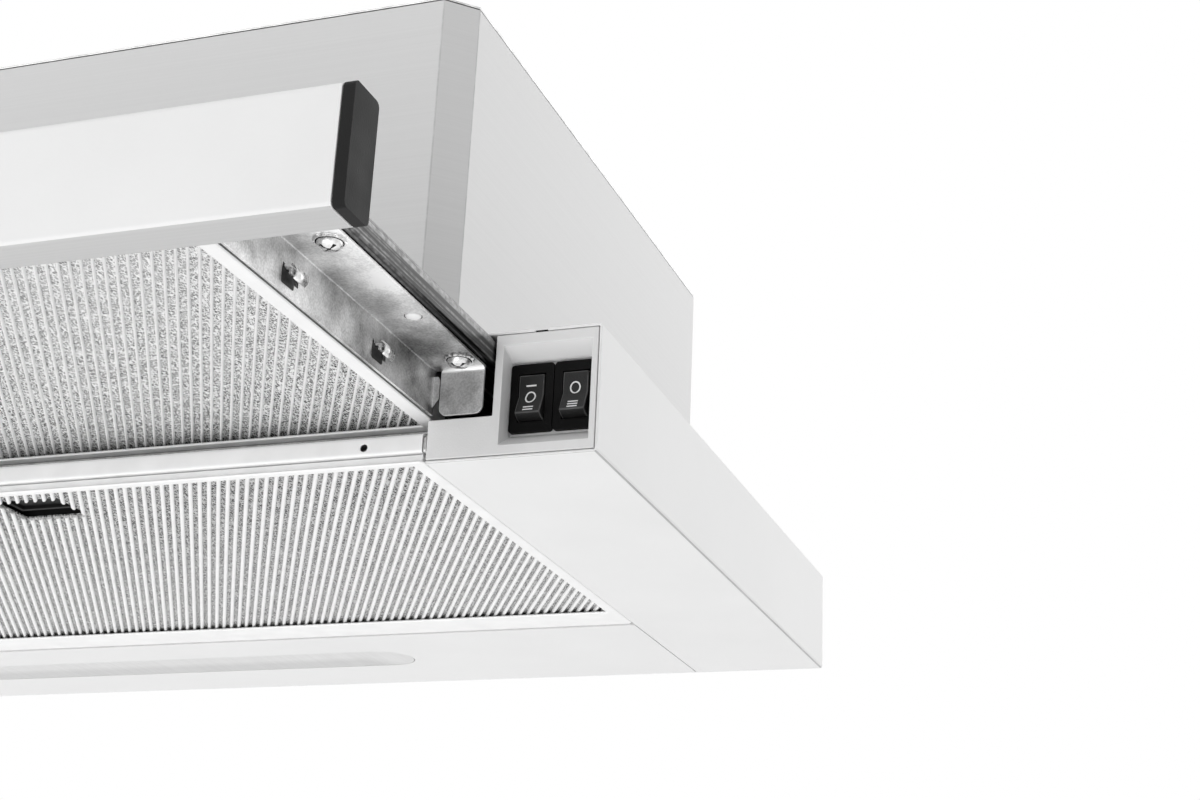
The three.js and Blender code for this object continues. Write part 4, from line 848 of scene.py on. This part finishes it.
def screw(name, centre, direction, body, size, toothed=False, turned=20):
    work = spun(screw_profile, screw_steps)
    bmesh.ops.recalc_face_normals(work, faces=work.faces)
    middles = {face: face.calc_center_median() for face in work.faces}
    recess = [face for face, middle in middles.items() if in_recess(middle)]
    # The ring between head and washer gets the painted shade.
    for face, middle in middles.items():
        if gap_inside < middle.to_2d().length < gap_outside and middle.z < gap_height:
            face.material_index = 1
    sunk = bmesh.ops.extrude_face_region(work, geom=recess)["geom"]
    bmesh.ops.translate(work, verts=only(bmesh.types.BMVert, sunk), vec=(0, 0, -recess_depth))
    bmesh.ops.delete(work, geom=[face for face in recess if face.is_valid], context="FACES_KEEP_BOUNDARY")
    # The cross recess gets the painted shade too.
    for face in only(bmesh.types.BMFace, sunk):
        face.material_index = 1
    if toothed:
        for corner in work.verts:
            step = round(math.atan2(corner.co.y, corner.co.x) / math.tau * screw_steps)
            if corner.co.to_2d().length > tooth_radius and step % 2:
                corner.co.xy *= tooth_scale
    placed = aimed(centre, direction) @ Matrix.Rotation(math.radians(turned), 4, "Z") @ Matrix.Scale(size, 4)
    bmesh.ops.transform(work, verts=work.verts, matrix=placed)
    piece = finished(work, name, "galvanised", body, finish="screw_zinc")
    piece.data.materials.append(finishes["dark_recess"])


for side, sign in sides.items():
    for place_name, y in (("front", -93.5), ("rear", -9.5)):
        screw(f"rail_screw_{place_name}_{side}", at(sign * 258, y, 28.5), down, "drawer", 0.9, toothed=True)
    for row, y in enumerate((30, 128, 226)):
        screw(f"lid_screw_{row}_{side}", at(sign * 238, y, 162.3), up, "hood_base", 0.6, turned=35 * row)

collar_middle, collar_screw_circle = 140, 65.5
for turn in (90, 210, 330):
    x = collar_screw_circle * math.cos(math.radians(turn))
    y = collar_middle + collar_screw_circle * math.sin(math.radians(turn))
    screw(f"collar_screw_{turn}", at(x, y, 164.2), up, "hood_base", 0.55, turned=turn)
print("screws made")

# %% [markdown]
# ## The seam at the back
# The housing is one sheet bent round four corners, so it has a seam. It is at the back, where nobody looks: a
# flat strip laps over the joint and blind rivets hold it. A rivet is a small spun dome with a dimple.

# %% Seam strip and rivets
rivet_profile = [(2.1, -0.4), (2.1, 0.0), (2.0, 0.35), (1.5, 0.75), (0.9, 0.85), (0.55, 0.5), (0, 0.5)]
rivet_sides = {50: 4.5, 73: -4.5, 96: 4.5, 119: -4.5, 142: 4.5}


def plate(name, low, high, round_off, slot):
    """A thin box with all its edges rounded by a width in millimetres."""
    work = block(low, high)
    rounded(work, work.edges[:], round_off, edge_steps)
    finished(work, name, slot, "hood_base")


plate("seam_strip", at(-9, 254.02, 42), at(9, 254.7, 150), 0.25, "body_paint")
for z, x in rivet_sides.items():
    button(f"seam_rivet_{z}", rivet_profile, 24, at(x, 254.7, z), rearwards, "body_paint", "hood_base",
           "screw_zinc")
print("seam closed with", len(rivet_sides), "rivets")

# %% [markdown]
# ## Notch in the front edge
# The sheet over each corner moulding has a small notch. A small black plate fills it from behind as the
# painted shade of the gap there.

# %% Shade in the notches
for side, sign in sides.items():
    plate(f"snap_hook_{side}", *sided_box(sign, (277.95, 0.1, 38.95), (281.65, 1.1, 39.5)), 0.15,
          "trim_black")
print("snap hooks made")

# %% [markdown]
# ## Plugs in the rails
# The third hole of each rail flange is closed by a white nylon plug with a low domed head. A profile of six
# points is spun into a button.

# %% Nylon plugs
plug_profile = [(2.3, -0.5), (2.3, 0.0), (2.2, 0.2), (1.6, 0.42), (0.8, 0.5), (0, 0.52)]
for side, sign in sides.items():
    button(f"rail_plug_{side}", plug_profile, 32, at(sign * 258, -42, 28.6), down, "white_paint", "drawer",
           "nylon")
print("plugs made")

# %% [markdown]
# ## The duct collar
# The collar is a turned shape, so its section, with the clamping groove and the ledge for the flaps, is spun
# in fine steps.

# %% Spun collar
collar_section = [(58.4, 0), (70, 0), (70, 1.6), (60.6, 1.6), (60, 2.2), (60, 20), (59.2, 21.2), (59.2, 22.8),
                  (60, 24), (59.4, 27.6), (59.0, 28), (58.4, 28), (58.4, 6.5), (55.4, 6.5), (58.4, 4.0)]
work = spun(collar_section, 96, ring=True)
bmesh.ops.translate(work, verts=work.verts, vec=at(0, collar_middle, 162.6))
bmesh.ops.recalc_face_normals(work, faces=work.faces)
finished(work, "duct_collar_spun", "blower_plastic", "hood_base", ["duct_collar"], 40)
soft_piece("cable_gland", 0.5, 40)
print("collar and gland made")

# %% [markdown]
# ## Marks on the rockers
# The switches carry only the generic marks: a bar, a ring and two or three bars. Each is a flat shape in
# front of its key. A ray from each of its corners finds the key's curved face, and the mark is laid on it.

# %% Printed marks
ink_above, ink_thickness = 0.03 * mm, 0.06 * mm


def laid_on(node, work):
    """Lays a flat mark on the front of a key and gives it a little thickness."""
    mesh = frame["nodes"][node].data
    face_tree = BVHTree.FromPolygons([corner.co for corner in mesh.vertices],
                                     [face.vertices for face in mesh.polygons])
    for corner in work.verts:
        hit = face_tree.ray_cast(Vector((corner.co.x, -1, corner.co.z)), Vector(rearwards))[0]
        corner.co.y = hit.y - ink_above
    backed = bmesh.ops.extrude_face_region(work, geom=work.faces[:], use_keep_orig=True)["geom"]
    bmesh.ops.translate(work, verts=only(bmesh.types.BMVert, backed), vec=(0, ink_thickness, 0))
    bmesh.ops.recalc_face_normals(work, faces=work.faces)


def upright(x, z, width, height):
    """The matrix that stands a flat shape up, facing the front."""
    return Matrix.Translation(at(x, 0, z)) @ Matrix.Rotation(math.radians(90), 4, "X") @ \
        Matrix.Diagonal((width, height, 1, 1))


def bar_mark(work, x, z, width=3.2, height=0.42):
    bmesh.ops.create_grid(work, x_segments=4, y_segments=1, size=0.5,
                          matrix=upright(x, z, width * mm, height * mm))


def ring_mark(work, x, z, radius=1.7, stroke=0.45):
    disc = bmesh.ops.create_circle(work, cap_ends=True, segments=32, radius=radius * mm,
                                   matrix=upright(x, z, 1, 1.16))
    face = disc["verts"][0].link_faces[0]
    bmesh.ops.inset_individual(work, faces=[face], thickness=stroke * mm)
    bmesh.ops.delete(work, geom=[face], context="FACES_ONLY")


marks = {"rocker_fan": ((275, 24.4), (275, 20.6), [(275, 17.1), (275, 16.15)]),
         "rocker_lamp": (None, (289, 22.7), [(289, 17.8), (289, 16.9), (289, 16.0)])}
for node, (top_bar, circle, low_bars) in marks.items():
    work = bmesh.new()
    if top_bar:
        bar_mark(work, *top_bar, height=0.5)
    ring_mark(work, *circle)
    for low_bar in low_bars:
        bar_mark(work, *low_bar)
    laid_on(node, work)
    finished(work, node + "_marks", "switch_black", body_of[node], finish="mark_white")
print("marks on", list(marks))

# %% [markdown]
# ## Finishes for the solids that stay
# Every solid that was not replaced keeps its own mesh and takes the finish of its slot.

# %% Dress the other solids
kept = [node for node in frame["nodes"].values() if not node.hide_render]
for node in kept:
    node.material_slots[0].material = finishes[slot_of[node.name]]
print("solids kept:", len(kept))

# %% [markdown]
# ## The studio
# The hood hangs in an even white room. The world is pure white where the camera or a reflection sees it, and
# dimmer as a light, so that the lamps can give the faces their own tones.

# %% World
room_light = 0.45


def seen_directly(tree):
    """1 for what the camera sees, by itself or in a reflection, and 0 for what only lights other things."""
    ray = add(tree, "LightPath").outputs
    mirrored = maths(tree, "MAXIMUM", ray["Is Glossy Ray"], ray["Is Transmission Ray"])
    return maths(tree, "MAXIMUM", ray["Is Camera Ray"], mirrored)


world = bpy.data.worlds.new("white_room")
scene.world = world
world.use_nodes = True
sky = world.node_tree
sky.nodes.clear()
shown_white = add(sky, "Background", {"Color": grey(1.0), "Strength": 1.0}).outputs[0]
as_light = add(sky, "Background", {"Color": grey(1.0), "Strength": room_light}).outputs[0]
either = add(sky, "MixShader", {0: seen_directly(sky), 1: as_light, 2: shown_white}).outputs[0]
sky.links.new(either, add(sky, "OutputWorld").inputs["Surface"])
print("world made")

# %% [markdown]
# The floor lies well below the camera and reaches far, so no view shows its border. It keeps the hood's
# shadow near the middle, and a glow that only seen rays get whitens it with distance, until it meets the
# white of the world. Seen from below it isn't there, so it never hides the hood.

# %% Floor
floor_height, floor_reach = -1.5, 60
white_from, white_to, least_glow, most_glow = 2.0, 9.0, 0.3, 0.61

work = bmesh.new()
bmesh.ops.create_grid(work, x_segments=1, y_segments=1, size=floor_reach,
                      matrix=Matrix.Translation((0, 0, floor_height)))
floor_mesh = bpy.data.meshes.new("floor")
work.to_mesh(floor_mesh)
work.free()
floor = bpy.data.objects.new("floor", floor_mesh)
scene.collection.objects.link(floor)

floor_paint = bpy.data.materials.new("floor_paint")
floor_paint.use_nodes = True
tree = floor_paint.node_tree
pale = tree.nodes["Principled BSDF"]
pale.inputs["Base Color"].default_value = grey(0.86)
pale.inputs["Roughness"].default_value = 0.9
pale.inputs["Specular IOR Level"].default_value = 0.0
pale.inputs["Emission Color"].default_value = grey(1.0)
from_middle = add(tree, "VectorMath", {0: here(tree)}, operation="LENGTH").outputs["Value"]
glow = ranged(tree, from_middle, white_from, white_to, least_glow, most_glow)
tree.links.new(maths(tree, "MULTIPLY", seen_directly(tree), glow), pale.inputs["Emission Strength"])
see_through = add(tree, "BsdfTransparent").outputs[0]
from_below = add(tree, "NewGeometry").outputs["Backfacing"]
one_way = add(tree, "MixShader", {0: from_below, 1: pale.outputs[0], 2: see_through}).outputs[0]
tree.links.new(one_way, tree.nodes["Material Output"].inputs["Surface"])
floor_mesh.materials.append(floor_paint)
print("floor made")

# %% [markdown]
# Five lamps give the faces their tones: one from the left front and one from low in front for the fascia and
# the housing, one from the right and behind for the sides, one above, and one as wide as a room that lies on
# the floor for the underside. So wide a lamp lights by its area alone, whatever its distance.

# %% Lamps
target = Vector((0, 0, 0.06))
floor_lamp_size, floor_lamp_share = 5.5, 0.385


def lamp(name, direction, distance, size, brightness):
    """A square soft lamp aimed at the hood. Brightness is its share of a fully lit white card."""
    data = bpy.data.lights.new(name, "AREA")
    data.size = size
    data.energy = brightness * math.pi ** 2 * distance ** 2
    made = bpy.data.objects.new(name, data)
    away = Vector(direction).normalized()
    made.location = target + away * distance
    made.rotation_euler = away.to_track_quat("Z", "Y").to_euler()
    made.visible_camera = False
    scene.collection.objects.link(made)
    return data


lamp("left_front_lamp", (-0.7, -0.75, 0.35), 3.2, 3.0, 0.16)
lamp("low_front_lamp", (-0.15, -1.0, -0.42), 1.6, 1.7, 0.43)
lamp("right_rear_lamp", (0.85, 0.75, 0.42), 1.55, 1.6, 0.29)
lamp("top_lamp", (0.0, -0.1, 1.0), 3.0, 3.2, 0.3)
just_above_floor = target.z - floor_height - 2 * mm
floor_lamp = lamp("floor_lamp", down, just_above_floor, floor_lamp_size, 1.0)
floor_lamp.energy = floor_lamp_share * math.pi * floor_lamp_size ** 2
